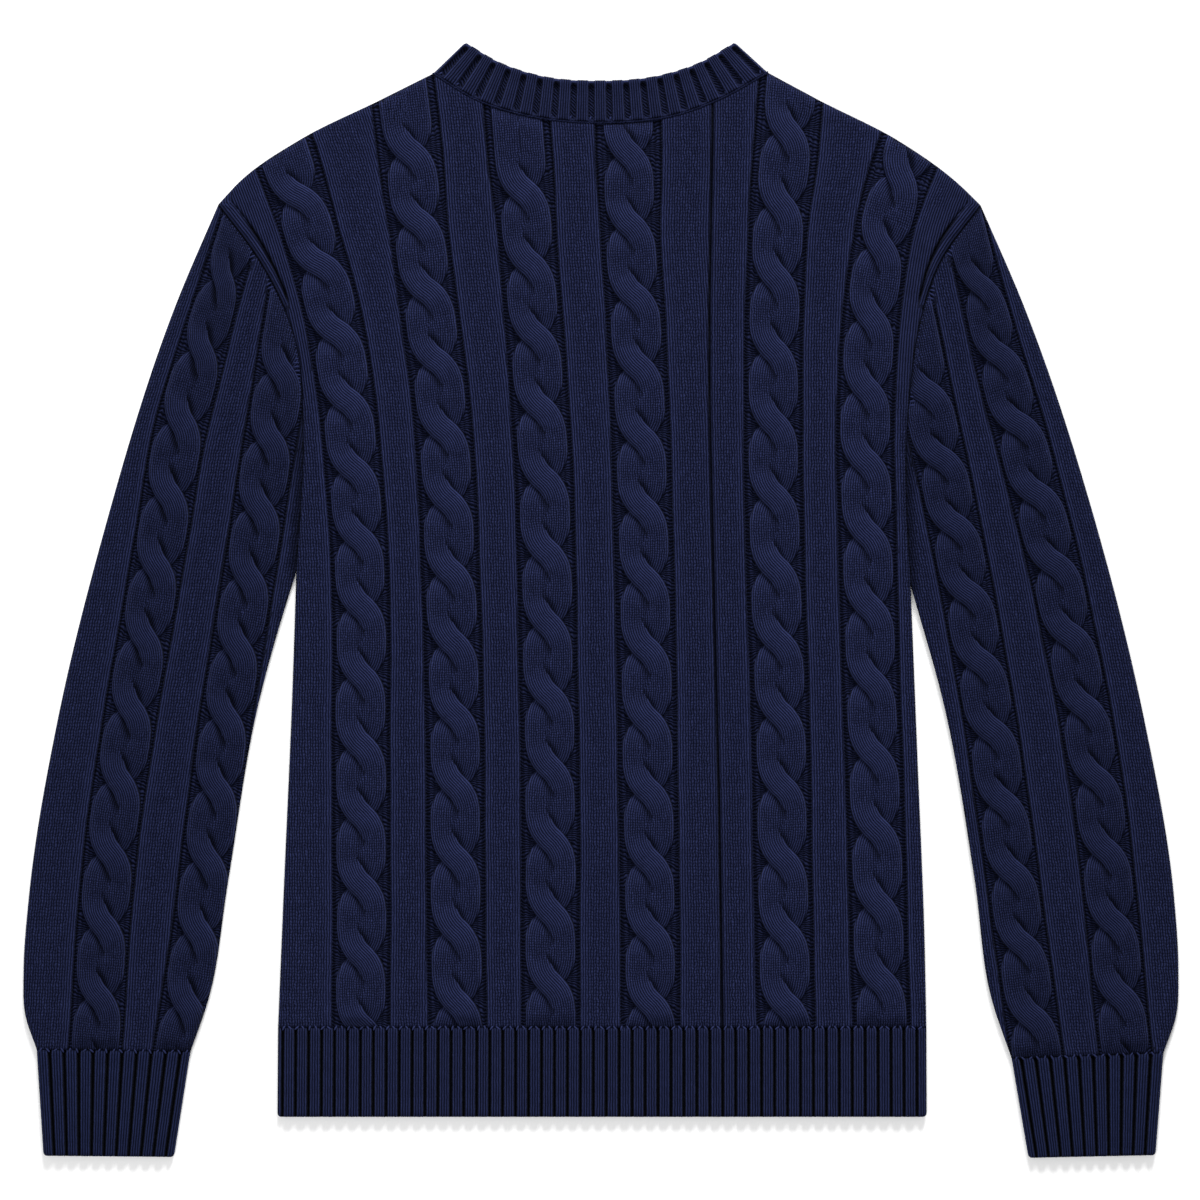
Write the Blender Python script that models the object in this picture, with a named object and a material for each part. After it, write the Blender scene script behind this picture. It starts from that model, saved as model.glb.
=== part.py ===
"""Cable knit crew-neck sweater, laid flat with its back up.

A maker knits a back, a front, two sleeves, two cuffs, a hem rib and a neckband, and links them
together. The upper layer shows the back, whose cables and ribs stand on a plain inside. The lower
layer rests flat. Sleeves, cuffs, hem and neckband are tubes or rings that are pressed flat.
Sizes are in millimetres and the meshes are in metres. +X is the right-hand sleeve, +Y the neck.
"""
import math
from collections import namedtuple

import bpy
import bmesh
import numpy as np
from mathutils.geometry import delaunay_2d_cdt

MM = 0.001
CENTRE = (0.0, 0.15)         # middle of the laid garment, which becomes the origin

# Layers, from the surface up
WALL = 3.0                   # plain knit
LAYER_GAP = 0.3              # between the two walls of the flat garment
UPPER_BASE = WALL + LAYER_GAP
HALF_GAP = 0.15              # each piece stops this far short of its seam line
SEAM_HEIGHT = 2.3            # wall thickness where a piece is linked to its neighbour
FOLD_HEIGHT = 2.1            # upper wall at a folded or free edge, where it turns down
FOLD_INSET = 1.4             # how far that edge is set in from the outline
FLOOR_INSET = 2.0            # the underside starts this far inside the outline
RIM = 4.6                    # the wall has its full thickness this far inside an edge
CLEARANCE = 2.2              # smallest distance between the surface's points and its border
MERGE = 1e-4                 # points closer than this are one
LINE_STEP = 34.0             # points of a line further apart than this aren't joined

# Rope cables
HALF_CHANNEL = 3.4           # purl channel beside a cable
CHANNEL_WALL = 1.5           # wall thickness in the channel
CABLE_HEIGHT = 6.2           # crown of a strand above the plain inside
CROSSING_LIFT = 1.2          # the upper strand rises and the lower one sinks by this
STRAND_SHARE = 0.56          # a strand's half width over the cable's half width
STRAND_SWELL = 0.14          # the upper strand widens by this share of the half width at a crossing
STRAND_FULLNESS = 2.6        # exponent of the strand's rounded section
WIDE_STRAND = 10.0           # a strand that shows wider than this has two points across, not one
TURN_SHARE = 0.36            # a strand crosses over within this share of a pitch from the crossing
NOTCH_SHARE = 0.07           # beyond this share from the crossing the strands show side by side
ROWS = (0.0, NOTCH_SHARE, 0.26, 0.5, 0.74, 1.0 - NOTCH_SHARE)   # shares of a pitch with a row of points
EDGE_ROWS = (ROWS[0], ROWS[3])                  # rows that also have points on the plain edges
POCKET_OUT = 0.4             # the sunken pocket at a notch ends this far outside the cable

# Ridge of the linked armhole seam, on the body side: distance from the seam and wall thickness
ARMHOLE_RIDGE = ((2.4, 4.2), (5.4, 2.2), (8.2, 3.0))

# Ribs
RIB_SEAM_SHARE = 0.72        # height of a rib at its ends, as a share of its crown
RIB_END = 2.0                # length over which a rib sinks to its seam or free edge
PURL_HALF = 0.7              # half width of the groove between ribs
GROOVE_SLOPE = 2.6           # its mouth over its floor
RIB_FOLD_SHARE = 0.8         # height of the last rib at a fold, as a share of its crown

Edge = namedtuple("Edge", "kind spacing points")
# Edges run counter-clockwise round the body. Kinds: seam is linked to a neighbour, fold turns down.
EDGES = {
    "hem": Edge("seam", 8.5, ((-213.4, -281.8), (215.0, -281.8))),
    "right_side": Edge("fold", 22, ((215.0, -281.8), (213.8, -223.7), (209.2, -104.9), (204.6, 9.9))),
    "right_armhole": Edge("seam", 9, ((204.6, 9.9), (201.3, 79.9), (203.9, 139.3), (211.2, 186.8),
                                      (223.7, 223.1), (250.8, 261.4))),
    "right_shoulder": Edge("fold", 12, ((250.8, 261.4), (236.9, 275.0), (197.3, 303.6),
                                        (144.5, 330.7), (110.2, 349.1))),
    "back_neck": Edge("seam", 8, ((110.2, 349.1), (78.5, 331.7), (52.1, 321.8), (0.0, 316.1),
                                  (-53.5, 321.8), (-79.9, 330.2), (-110.9, 348.5))),
    "front_neck": Edge("seam", 8, ((110.2, 349.1), (86.0, 308.0), (52.1, 279.0), (0.0, 268.0),
                                   (-52.1, 279.0), (-86.0, 308.0), (-110.9, 348.5))),
    "left_shoulder": Edge("fold", 12, ((-110.9, 348.5), (-145.9, 331.0), (-198.7, 304.9),
                                       (-238.3, 277.5), (-252.8, 262.0))),
    "left_armhole": Edge("seam", 9, ((-252.8, 262.0), (-226.4, 226.4), (-211.9, 200.0),
                                     (-201.3, 170.9), (-196.7, 112.0), (-201.3, 19.1))),
    "left_side": Edge("fold", 22, ((-201.3, 19.1), (-203.9, -58.7), (-209.9, -197.3), (-213.4, -281.8))),
    "left_cuff": Edge("seam", 10, ((-372.9, -296.3), (-271.3, -297.7))),
    "left_inner": Edge("fold", 14, ((-271.3, -297.7), (-259.4, -263.3), (-246.2, -184.1),
                                    (-225.7, -65.3), (-207.2, 0.7), (-201.3, 19.1))),
    "left_outer": Edge("fold", 18, ((-252.8, 262.0), (-279.8, 198.7), (-330.0, 40.3), (-359.0, -78.5),
                                    (-378.2, -197.3), (-381.5, -243.5), (-380.5, -273.2),
                                    (-372.9, -296.3))),
    "right_cuff": Edge("seam", 10, ((271.3, -302.3), (371.6, -298.6))),
    "right_inner": Edge("fold", 14, ((204.6, 9.9), (207.6, -0.5), (225.7, -65.3), (246.8, -184.1),
                                     (258.1, -263.3), (271.3, -302.3))),
    "right_outer": Edge("fold", 18, ((371.6, -298.6), (380.2, -273.2), (381.5, -243.5),
                                     (378.8, -197.3), (359.0, -78.5), (330.0, 40.3), (277.9, 198.7),
                                     (250.8, 261.4))),
}

# Cables: centre line at the listed heights y, half width there, and the crossings down the cable
Cable = namedtuple("Cable", "heights centres half_width first_crossing pitch growth")
BACK_HEIGHTS = (310, 245, 180, 110, 20, -80, -282)
BACK_CABLES = (
    Cable(BACK_HEIGHTS, (-214.0, -192.7, -175.5, -165.4, -159.2, -158.4, -158.4), 17.0, 267.6, 44.6, 0.09),
    Cable(BACK_HEIGHTS, (-127.9, -120.3, -111.6, -103.9, -99.2, -96.8, -95.0), 17.2, 296.7, 45.5, 0.11),
    Cable(BACK_HEIGHTS, (-54.5, -49.3, -43.8, -38.9, -36.0, -34.0, -33.0), 17.2, 271.0, 47.6, 0.0),
    Cable(BACK_HEIGHTS, (18.3, 19.6, 23.0, 26.4, 28.7, 30.7, 33.0), 17.5, 295.4, 46.7, 0.0),
    Cable(BACK_HEIGHTS, (123.0, 117.3, 114.4, 113.6, 115.6, 118.4, 122.1), 17.2, 309.9, 48.0, 0.0),
    Cable(BACK_HEIGHTS, (208.0, 187.0, 178.0, 174.8, 176.4, 179.4, 185.5), 17.0, 280.2, 46.2, 0.18),
)
LEFT_CABLES = (
    Cable((268, 190, 110, 40, -60, -190, -290), (-234.0, -257.4, -278.2, -290.4, -308.0, -326.6, -333.4),
          16.5, 212.9, 47.4, 0.0),
    Cable((218, 126, 34, -59, -151, -245, -300), (-200.6, -215.2, -229.7, -244.9, -257.4, -269.9, -278.8),
          16.5, 151.5, 44.6, 0.2),
)
RIGHT_CABLES = (
    Cable((261, 184, 92, 0, -92, -187, -290), (237.0, 256.7, 281.8, 304.5, 322.7, 335.3, 345.6),
          16.5, 209.0, 45.4, 0.15),
    Cable((205, 120, 27, -65, -156, -250, -310), (200.6, 218.5, 237.6, 254.8, 268.0, 281.2, 289.5),
          16.5, 138.4, 43.3, 0.28),
)
# Purl line between two plain strips of the back: x at the heights y, half width and wall thickness
PurlLine = namedtuple("PurlLine", "heights centres half_width wall spacing")
PURL_LINE = PurlLine((312, 200, 130, 0, -130, -282), (73.6, 71.6, 71.6, 74.6, 77.9, 80.2), 1.5, 2.0, 30.0)

# Ribbed rings: the seam line and free edge of the upper face, and the same two lines underneath
Ring = namedtuple("Ring", "seam free under_seam under_free ribs crown groove under_steps corner")
HEM_SEAM = ((-213.4, -281.8), (215.0, -281.8))
HEM_FREE = ((-213.8, -340.9), (215.2, -340.9))
LEFT_CUFF_SEAM = ((-372.9, -296.3), (-271.3, -297.7))
LEFT_CUFF_FREE = ((-368.4, -366.6), (-282.2, -367.4))
RIGHT_CUFF_SEAM = ((271.3, -302.3), (371.6, -298.6))
RIGHT_CUFF_FREE = ((282.5, -368.0), (366.4, -366.2))
NECK_FREE = ((87.8, 368.3), (65.3, 355.0), (38.9, 346.2), (0.0, 342.5), (-40.3, 346.0),
             (-66.7, 354.9), (-89.1, 368.3))
NECK_UNDER_FREE = ((87.8, 368.3), (68.0, 331.0), (40.0, 305.0), (0.0, 295.5), (-40.0, 305.0),
                   (-68.0, 331.0), (-89.1, 368.3))
RINGS = {
    "hem_rib": Ring(HEM_SEAM, HEM_FREE, HEM_SEAM, HEM_FREE, 50, 3.5, 1.5, 2, 2.6),
    "cuff_left": Ring(LEFT_CUFF_SEAM, LEFT_CUFF_FREE, LEFT_CUFF_SEAM, LEFT_CUFF_FREE, 11, 3.6, 1.6, 2, 2.6),
    "cuff_right": Ring(RIGHT_CUFF_SEAM, RIGHT_CUFF_FREE, RIGHT_CUFF_SEAM, RIGHT_CUFF_FREE,
                       11, 3.6, 1.6, 2, 2.6),
    "neckband": Ring(EDGES["back_neck"].points, NECK_FREE, EDGES["front_neck"].points, NECK_UNDER_FREE,
                     17, 4.2, 2.3, 20, 0.0),
}

YARN = (0.0105, 0.0135, 0.034, 1.0)
RIB_YARN = (0.009, 0.0115, 0.029, 1.0)
YARN_ROUGHNESS = 0.92
SHARP_ANGLE = 35             # degrees between faces that meet in a crisp edge


def hermite(t, low, high, into, out):
    """Smooth step from low to high for t from 0 to 1, with given slopes at its ends."""
    return ((2 * t**3 - 3 * t**2 + 1) * low + (t**3 - 2 * t**2 + t) * into
            + (3 * t**2 - 2 * t**3) * high + (t**3 - t**2) * out)


def smooth_curve(points, shares):
    """Places at the given shares of the length of a smooth curve through the points."""
    points = np.array(points, float)
    if len(points) > 2:
        chords = np.linalg.norm(np.diff(points, axis=0), axis=1)
        knots = np.concatenate(([0.0], np.cumsum(chords)))
        tangents = np.gradient(points, knots, axis=0)
        steps = np.linspace(0.0, 1.0, 25)[:, None]
        spans = [hermite(steps, points[i], points[i + 1], chord * tangents[i], chord * tangents[i + 1])
                 for i, chord in enumerate(chords)]
        points = np.vstack(spans)
    lengths = np.concatenate(([0.0], np.cumsum(np.linalg.norm(np.diff(points, axis=0), axis=1))))
    target = np.asarray(shares) * lengths[-1]
    return np.column_stack([np.interp(target, lengths, points[:, axis]) for axis in (0, 1)])


def curve_length(points):
    """Length of the smooth curve through the points."""
    return float(np.linalg.norm(np.diff(smooth_curve(points, np.linspace(0, 1, 200)), axis=0), axis=1).sum())


def across(heights, centres, y):
    """Smooth x of a line given by its places at falling heights, and its slope dx/dy."""
    heights = np.array(heights, float)
    centres = np.array(centres, float)
    slopes = np.gradient(centres, heights)
    if y > heights[0] or y < heights[-1]:
        end = 0 if y > heights[0] else -1
        return centres[end] + slopes[end] * (y - heights[end]), slopes[end]
    span = int(np.clip(np.searchsorted(-heights, -y) - 1, 0, len(heights) - 2))
    width = heights[span + 1] - heights[span]
    t = (y - heights[span]) / width
    x = hermite(t, centres[span], centres[span + 1], slopes[span] * width, slopes[span + 1] * width)
    return x, (1.0 - t) * slopes[span] + t * slopes[span + 1]


class Outline:
    """Closed outline of a flat piece, made of named edges that meet at its corners."""

    def __init__(self, parts):
        corners, kinds, names = [], [], []
        for name, backwards in parts:
            edge = EDGES[name]
            steps = max(1, round(curve_length(edge.points) / edge.spacing))
            places = smooth_curve(edge.points, np.linspace(0.0, 1.0, steps + 1))
            if backwards:
                places = places[::-1]
            corners.extend(places[:-1])
            kinds.extend([edge.kind] * steps)
            names.extend([name] * steps)
        self.points = np.array(corners)
        self.kinds = kinds
        self.names = names

    def ring(self, seam, fold):
        """The outline moved inwards by one distance at seams and another at folds."""
        ahead = np.roll(self.points, -1, axis=0) - self.points
        ahead /= np.linalg.norm(ahead, axis=1)[:, None]
        inward = np.column_stack((-ahead[:, 1], ahead[:, 0]))
        distance = np.array([seam if kind == "seam" else fold for kind in self.kinds])
        moved = []
        for place in range(len(self.points)):
            n1, n2 = inward[place - 1], inward[place]
            d1, d2 = distance[place - 1], distance[place]
            turn = n1[0] * n2[1] - n1[1] * n2[0]
            if abs(turn) > 0.3:
                shift = np.array((d1 * n2[1] - d2 * n1[1], d2 * n1[0] - d1 * n2[0])) / turn
            else:
                middle = (n1 + n2) / np.linalg.norm(n1 + n2)
                shift = middle * (d1 + d2) / 2
            moved.append(self.points[place] + shift)
        return np.array(moved)

    def rim(self, inset, skipped):
        """Places where the wall reaches its full thickness, along all edges but the skipped ones."""
        ring = self.ring(inset, inset)
        return [place for place, name in zip(ring, self.names) if name not in skipped]


def inside(places, ring):
    """Which places are inside a closed ring."""
    x, y = places[:, 0][:, None], places[:, 1][:, None]
    start, end = ring, np.roll(ring, -1, axis=0)
    crosses = (start[:, 1] > y) != (end[:, 1] > y)
    rise = np.where(np.abs(end[:, 1] - start[:, 1]) < 1e-9, 1e-9, end[:, 1] - start[:, 1])
    reach = start[:, 0] + (y - start[:, 1]) * (end[:, 0] - start[:, 0]) / rise
    return (crosses & (x < reach)).sum(axis=1) % 2 == 1


def distance_to(places, ring):
    """Distance from each place to a closed ring."""
    start, step = ring, np.roll(ring, -1, axis=0) - ring
    offset = places[:, None, :] - start[None]
    share = np.clip((offset * step).sum(axis=2) / (step * step).sum(axis=1), 0.0, 1.0)
    return np.linalg.norm(offset - share[:, :, None] * step, axis=2).min(axis=1)


class RopeCable:
    """Two strands that cross over each other, always with the same one on top."""

    def __init__(self, cable):
        self.cable = cable
        self.half = cable.half_width
        self.swing = self.half * (1.0 - STRAND_SHARE)
        first, pitch, growth = cable.first_crossing, cable.pitch, cable.growth
        self.crossings = [first - pitch * k - growth * k * max(k, 0) for k in range(-3, 16)]

    def strands(self, phase):
        """Centre, half width and height of the left and right strand at a share of the pitch."""
        lean = math.cos(math.pi * phase)
        turned = min(1.0, min(phase, 1.0 - phase) / TURN_SHARE)
        out = self.swing * math.sin(math.pi / 2.0 * turned)
        width = self.half * STRAND_SHARE
        swell = self.half * STRAND_SWELL * lean
        return ((-out, width - swell, CABLE_HEIGHT - CROSSING_LIFT * lean),
                (out, width + swell, CABLE_HEIGHT + CROSSING_LIFT * lean))

    def height(self, s, phase):
        """Thickness of the wall at a distance s from the centre line."""
        top = CHANNEL_WALL
        for centre, width, crown in self.strands(phase):
            share = abs(s - centre) / width
            if share < 1.0:
                dome = (1.0 - share**STRAND_FULLNESS) ** (1.0 / STRAND_FULLNESS)
                top = max(top, CHANNEL_WALL + (crown - CHANNEL_WALL) * dome)
        return top

    def height_at(self, x, y):
        """Wall thickness at a place of the panel, or None beside the cable."""
        centre, slope = across(self.cable.heights, self.cable.centres, y)
        s = (x - centre) / math.hypot(1.0, slope)
        if abs(s) > self.half + HALF_CHANNEL:
            return None
        along = y + s * slope / math.hypot(1.0, slope)
        place = np.interp(-along, [-c for c in self.crossings], range(len(self.crossings)))
        return self.height(s, place % 1.0) if abs(s) < self.half else CHANNEL_WALL

    def row(self, phase):
        """Points across the cable: distance from the centre line, thickness and what they are."""
        left, right = self.strands(phase)
        low = min(left[0] - left[1], right[0] - right[1])
        high = max(left[0] + left[1], right[0] + right[1])
        stops = [(low, "left"), (high, "right")]
        if NOTCH_SHARE < phase < 1.0 - NOTCH_SHARE:
            between = np.linspace(left[0], right[0], 33)
            stops.insert(1, (between[np.argmin([self.height(s, phase) for s in between])], "crease"))
        for (start, _), (end, _) in zip(stops[:-1], stops[1:]):
            shares = (0.25, 0.75) if end - start > WIDE_STRAND else (0.5,)
            stops = stops + [(start + (end - start) * share, "strand") for share in shares]
        return [(s, self.height(s, phase), kind) for s, kind in stops]

    def points(self):
        """Surface points of the cable and of the plain edges beside it, with the lines they are on."""
        for number, (upper, lower) in enumerate(zip(self.crossings[:-1], self.crossings[1:])):
            for phase in ROWS:
                y = upper + (lower - upper) * phase
                centre, slope = across(self.cable.heights, self.cable.centres, y)
                normal = np.array((1.0, -slope)) / math.hypot(1.0, slope)
                origin = np.array((centre, y))
                for s, wall, kind in self.row(phase):
                    lines = [(self, kind)] if kind in ("left", "right") else []
                    if kind == "crease" or (kind, phase) in (("left", ROWS[1]), ("right", ROWS[-1])):
                        lines.append((self, "crease", number))
                    yield origin + normal * s, wall, lines
                if phase in EDGE_ROWS:
                    for side in (-1, 1):
                        edge = origin + normal * side * (self.half + HALF_CHANNEL)
                        yield edge, WALL, [(self, "edge", side)]
                if phase in (ROWS[1], ROWS[-1]):
                    side = -1 if phase == ROWS[1] else 1
                    yield origin + normal * side * (self.half + POCKET_OUT), CHANNEL_WALL, []


def purl_line_points():
    """Points of the narrow purl line between two plain strips."""
    steps = round((PURL_LINE.heights[0] - PURL_LINE.heights[-1]) / PURL_LINE.spacing)
    for y in np.linspace(PURL_LINE.heights[0], PURL_LINE.heights[-1], steps + 1)[1:-1]:
        x = across(PURL_LINE.heights, PURL_LINE.centres, y)[0]
        for side, wall in ((-1, WALL), (0, PURL_LINE.wall), (1, WALL)):
            yield np.array((x + side * PURL_LINE.half_width, y)), wall, [("purl line", side)]


def armhole_ridge_points():
    """Points of the ridge and groove that run beside each linked armhole."""
    for name in ("left_armhole", "right_armhole"):
        edge = EDGES[name]
        steps = round(curve_length(edge.points) / edge.spacing)
        places = smooth_curve(edge.points, np.linspace(0.0, 1.0, steps + 1))
        ahead = np.gradient(places, axis=0)
        ahead /= np.linalg.norm(ahead, axis=1)[:, None]
        for distance, wall in ARMHOLE_RIDGE:
            for place, (dx, dy) in list(zip(places, ahead))[1:-1]:
                yield place + np.array((-dy, dx)) * distance, wall, [(name, distance)]


def pad_mesh(name, rings, surface=()):
    """Closed solid from a stack of rings, a flat underside and a surface of raised points.

    rings is a list of (places, height), from the underside up. surface is a list of
    (place, height, lines), and neighbours on a line are joined by an edge.
    """
    border = rings[-1][0]
    places = [tuple(p) for p in border] + [tuple(p) for p, _, _ in surface]
    heights = [rings[-1][1]] * len(border) + [h for _, h, _ in surface]
    count = len(border)
    frame = [(i, (i + 1) % count) for i in range(count)]
    last_on = {}
    joined = []
    for index, (place, _, lines) in enumerate(surface, start=count):
        for line in lines:
            if line in last_on and math.dist(place, places[last_on[line]]) < LINE_STEP:
                joined.append((last_on[line], index))
            last_on[line] = index
    whole = [list(range(count))]
    coords, _, faces, origins, _, _ = delaunay_2d_cdt(places, frame + joined, whole, 1, MERGE)
    model = bmesh.new()
    top = []
    for place, origin in zip(coords, origins):
        height = heights[origin[0]] if origin else UPPER_BASE + CHANNEL_WALL
        top.append(model.verts.new((place[0], place[1], height)))
    for face in faces:
        model.faces.new([top[i] for i in face])
    upper = [None] * count
    for vertex, origin in zip(top, origins):
        for source in origin:
            if source < count:
                upper[source] = vertex
    for ring, height in reversed(rings[:-1]):
        lower = [model.verts.new((p[0], p[1], height)) for p in ring]
        for i in range(count):
            j = (i + 1) % count
            model.faces.new((lower[i], lower[j], upper[j], upper[i]))
        upper = lower
    flat_ring = [tuple(p) for p in rings[0][0]]
    _, _, under, sources, _, _ = delaunay_2d_cdt(flat_ring, frame, whole, 1, MERGE)
    for face in under:
        model.faces.new([upper[sources[i][0]] for i in reversed(face)])
    loose = [v for v in model.verts if not v.link_faces]
    bmesh.ops.delete(model, geom=loose, context="VERTS")
    return finish_mesh(name, model)


def finish_mesh(name, model):
    """Turn faces outwards, scale to metres about the garment's middle and store the mesh."""
    bmesh.ops.recalc_face_normals(model, faces=model.faces)
    for vertex in model.verts:
        x, y, z = vertex.co
        vertex.co = ((x - CENTRE[0]) * MM, (y - CENTRE[1]) * MM, z * MM)
    mesh = bpy.data.meshes.new(name)
    model.to_mesh(mesh)
    model.free()
    return mesh


def add_object(name, mesh, material):
    """Named object with its own material, shaded smooth but for its sharp edges."""
    mesh.materials.append(material)
    mesh.shade_smooth()
    mesh.set_sharp_from_angle(angle=math.radians(SHARP_ANGLE))
    piece = bpy.data.objects.new(name, mesh)
    bpy.context.scene.collection.objects.link(piece)
    return piece


def knit_material(name, colour):
    """Matte cotton yarn."""
    material = bpy.data.materials.new(name)
    material.use_nodes = True
    shader = material.node_tree.nodes["Principled BSDF"]
    shader.inputs["Base Color"].default_value = colour
    shader.inputs["Roughness"].default_value = YARN_ROUGHNESS
    shader.inputs["Metallic"].default_value = 0.0
    return material


def surface_points(outline, border, cables, extra=(), unrimmed=()):
    """Points of a panel's upper surface, inside its border and apart from each other."""
    ropes = [RopeCable(cable) for cable in cables]

    def wall_at(place):
        heights = [h for h in (rope.height_at(*place) for rope in ropes) if h is not None]
        return heights[0] if heights else WALL

    chosen = [(place, wall_at(place), []) for place in outline.rim(RIM, unrimmed)]
    candidates = list(extra) + [point for rope in ropes for point in rope.points()]
    places = np.array([place for place, _, _ in candidates])
    rim = np.array([place for place, _, _ in chosen])
    keep = inside(places, border) & (distance_to(places, border) > CLEARANCE)
    keep &= np.linalg.norm(places[:, None, :] - rim[None], axis=2).min(axis=1) > CLEARANCE
    keep[len(extra):] &= distance_to(places[len(extra):], outline.points) > RIM
    if extra:
        apart = np.linalg.norm(places[len(extra):, None, :] - places[None, :len(extra)], axis=2)
        keep[len(extra):] &= apart.min(axis=1) > CLEARANCE
    chosen += [point for point, good in zip(candidates, keep) if good]
    return [(place, UPPER_BASE + wall, lines) for place, wall, lines in chosen]


def build_back(material):
    """Back panel with its cables, purl line and armhole ridges."""
    outline = Outline((("hem", False), ("right_side", False), ("right_armhole", False),
                       ("right_shoulder", False), ("back_neck", False), ("left_shoulder", False),
                       ("left_armhole", False), ("left_side", False)))
    base = outline.ring(HALF_GAP, HALF_GAP)
    border = outline.ring(HALF_GAP, FOLD_INSET)
    extra = list(armhole_ridge_points()) + list(purl_line_points())
    rings = [(base, UPPER_BASE), (border, UPPER_BASE + SEAM_HEIGHT)]
    surface = surface_points(outline, border, BACK_CABLES, extra, ("left_armhole", "right_armhole"))
    mesh = pad_mesh("back_panel", rings, surface)
    return add_object("back_panel", mesh, material)


def build_front(material):
    """Plain front panel that lies on the surface, under the back."""
    outline = Outline((("hem", False), ("right_side", False), ("right_armhole", False),
                       ("right_shoulder", False), ("front_neck", False), ("left_shoulder", False),
                       ("left_armhole", False), ("left_side", False)))
    rings = [(outline.ring(HALF_GAP, FLOOR_INSET), 0.0), (outline.ring(HALF_GAP, HALF_GAP), WALL)]
    return add_object("front_panel", pad_mesh("front_panel", rings), material)


def build_sleeve(name, parts, cables, material):
    """Sleeve pressed flat: two walls that are joined along both folds and open at both ends."""
    outline = Outline(parts)
    border = outline.ring(HALF_GAP, FOLD_INSET)
    rings = [(outline.ring(HALF_GAP, FLOOR_INSET), 0.0),
             (outline.ring(HALF_GAP, HALF_GAP), WALL),
             (border, UPPER_BASE + FOLD_HEIGHT)]
    mesh = pad_mesh(name, rings, surface_points(outline, border, cables))
    sleeve = add_object(name, mesh, material)
    slit_ring = outline.ring(-2.0 * WALL, WALL)
    slit_mesh = pad_mesh(name + "_slit", [(slit_ring, WALL), (slit_ring, UPPER_BASE)])
    slit = bpy.data.objects.new(name + "_slit", slit_mesh)
    bpy.context.scene.collection.objects.link(slit)
    slit.hide_render = True
    slit.display_type = "WIRE"
    cut = sleeve.modifiers.new("slit", "BOOLEAN")
    cut.operation = "DIFFERENCE"
    cut.object = slit
    return sleeve


def build_ring(name, ring, material):
    """Ribbed ring, pressed flat: ribs on its upper face, plain underneath."""
    seam_length = curve_length(ring.seam)
    groove = PURL_HALF * GROOVE_SLOPE / seam_length
    shares, walls = [], []
    for rib in range(1, ring.ribs):
        centre = rib / ring.ribs
        shares += [centre - groove, centre, centre + groove]
        walls += [ring.crown, ring.groove, ring.crown]
    edge = FOLD_INSET / seam_length
    inner = WALL / seam_length
    floor = FLOOR_INSET / seam_length
    sections = []

    def section(lines, outer_share, inner_share, heights, corner=0.0):
        """Five places: inside at the seam, three outside, inside at the free edge."""
        seam = smooth_curve(lines[0], (outer_share, inner_share))
        free = smooth_curve(lines[1], (outer_share, inner_share))
        out = (free[0] - seam[0]) / np.linalg.norm(free[0] - seam[0])
        inward = (free[1] - seam[1]) / np.linalg.norm(free[1] - seam[1])
        flat = (seam[1] + inward * HALF_GAP, seam[0] + out * HALF_GAP, seam[0] + out * RIB_END,
                free[0] - out * (RIB_END + corner), free[1] - inward * corner)
        sections.append([(*place, height) for place, height in zip(flat, heights)])

    def upper(outer_share, inner_share, wall, corner=0.0):
        top = UPPER_BASE + wall
        low = UPPER_BASE + wall * RIB_SEAM_SHARE
        heights = (UPPER_BASE, low, top, top, UPPER_BASE)
        section((ring.seam, ring.free), outer_share, inner_share, heights, corner)

    def lower(outer_share, inner_share, corner=0.0):
        lines = (ring.under_seam, ring.under_free)
        section(lines, outer_share, inner_share, (WALL, 0.0, 0.0, 0.0, WALL), corner)

    def turn(share, inner_share):
        section((ring.seam, ring.free), share, inner_share, (UPPER_BASE,) * 5, ring.corner)

    turn(0.0, inner)
    upper(edge, inner, ring.crown * RIB_FOLD_SHARE, ring.corner / 2)
    for share, wall in zip(shares, walls):
        upper(share, share, wall)
    upper(1.0 - edge, 1.0 - inner, ring.crown * RIB_FOLD_SHARE, ring.corner / 2)
    turn(1.0, 1.0 - inner)
    lower(1.0 - floor, 1.0 - inner, ring.corner / 2)
    for share in np.linspace(1.0, 0.0, ring.under_steps + 1)[1:-1]:
        lower(share, share)
    lower(floor, inner, ring.corner / 2)

    model = bmesh.new()
    rows = [[model.verts.new(place) for place in row] for row in sections]
    for row, after in zip(rows, rows[1:] + rows[:1]):
        for i in range(len(row)):
            j = (i + 1) % len(row)
            model.faces.new((row[i], row[j], after[j], after[i]))
    return add_object(name, finish_mesh(name, model), material)


def build_sweater():
    """Remove what is in the scene and model every piece."""
    for old in list(bpy.data.objects):
        bpy.data.objects.remove(old, do_unlink=True)
    build_back(knit_material("back_knit", YARN))
    build_front(knit_material("front_knit", YARN))
    build_sleeve("sleeve_left", (("left_cuff", False), ("left_inner", False), ("left_armhole", True),
                                 ("left_outer", False)), LEFT_CABLES, knit_material("left_knit", YARN))
    build_sleeve("sleeve_right", (("right_cuff", False), ("right_outer", False), ("right_armhole", True),
                                  ("right_inner", False)), RIGHT_CABLES, knit_material("right_knit", YARN))
    for name, ring in RINGS.items():
        build_ring(name, ring, knit_material(name + "_knit", RIB_YARN))


build_sweater()
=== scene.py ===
"""Cable knit crew-neck sweater, laid flat with its back up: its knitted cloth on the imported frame.

The back, front and sleeves are thin closed shells. Rope cables lie in purl channels on them, each
strand a body of its own that dives under the next. Ribbed rings and linked seams join the panels.
Sizes are in millimetres until a mesh is stored. +X is the right-hand sleeve and +Y the neck.
"""

import logging
import math
from collections.abc import Callable, Sequence
from dataclasses import dataclass
from enum import Enum

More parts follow.
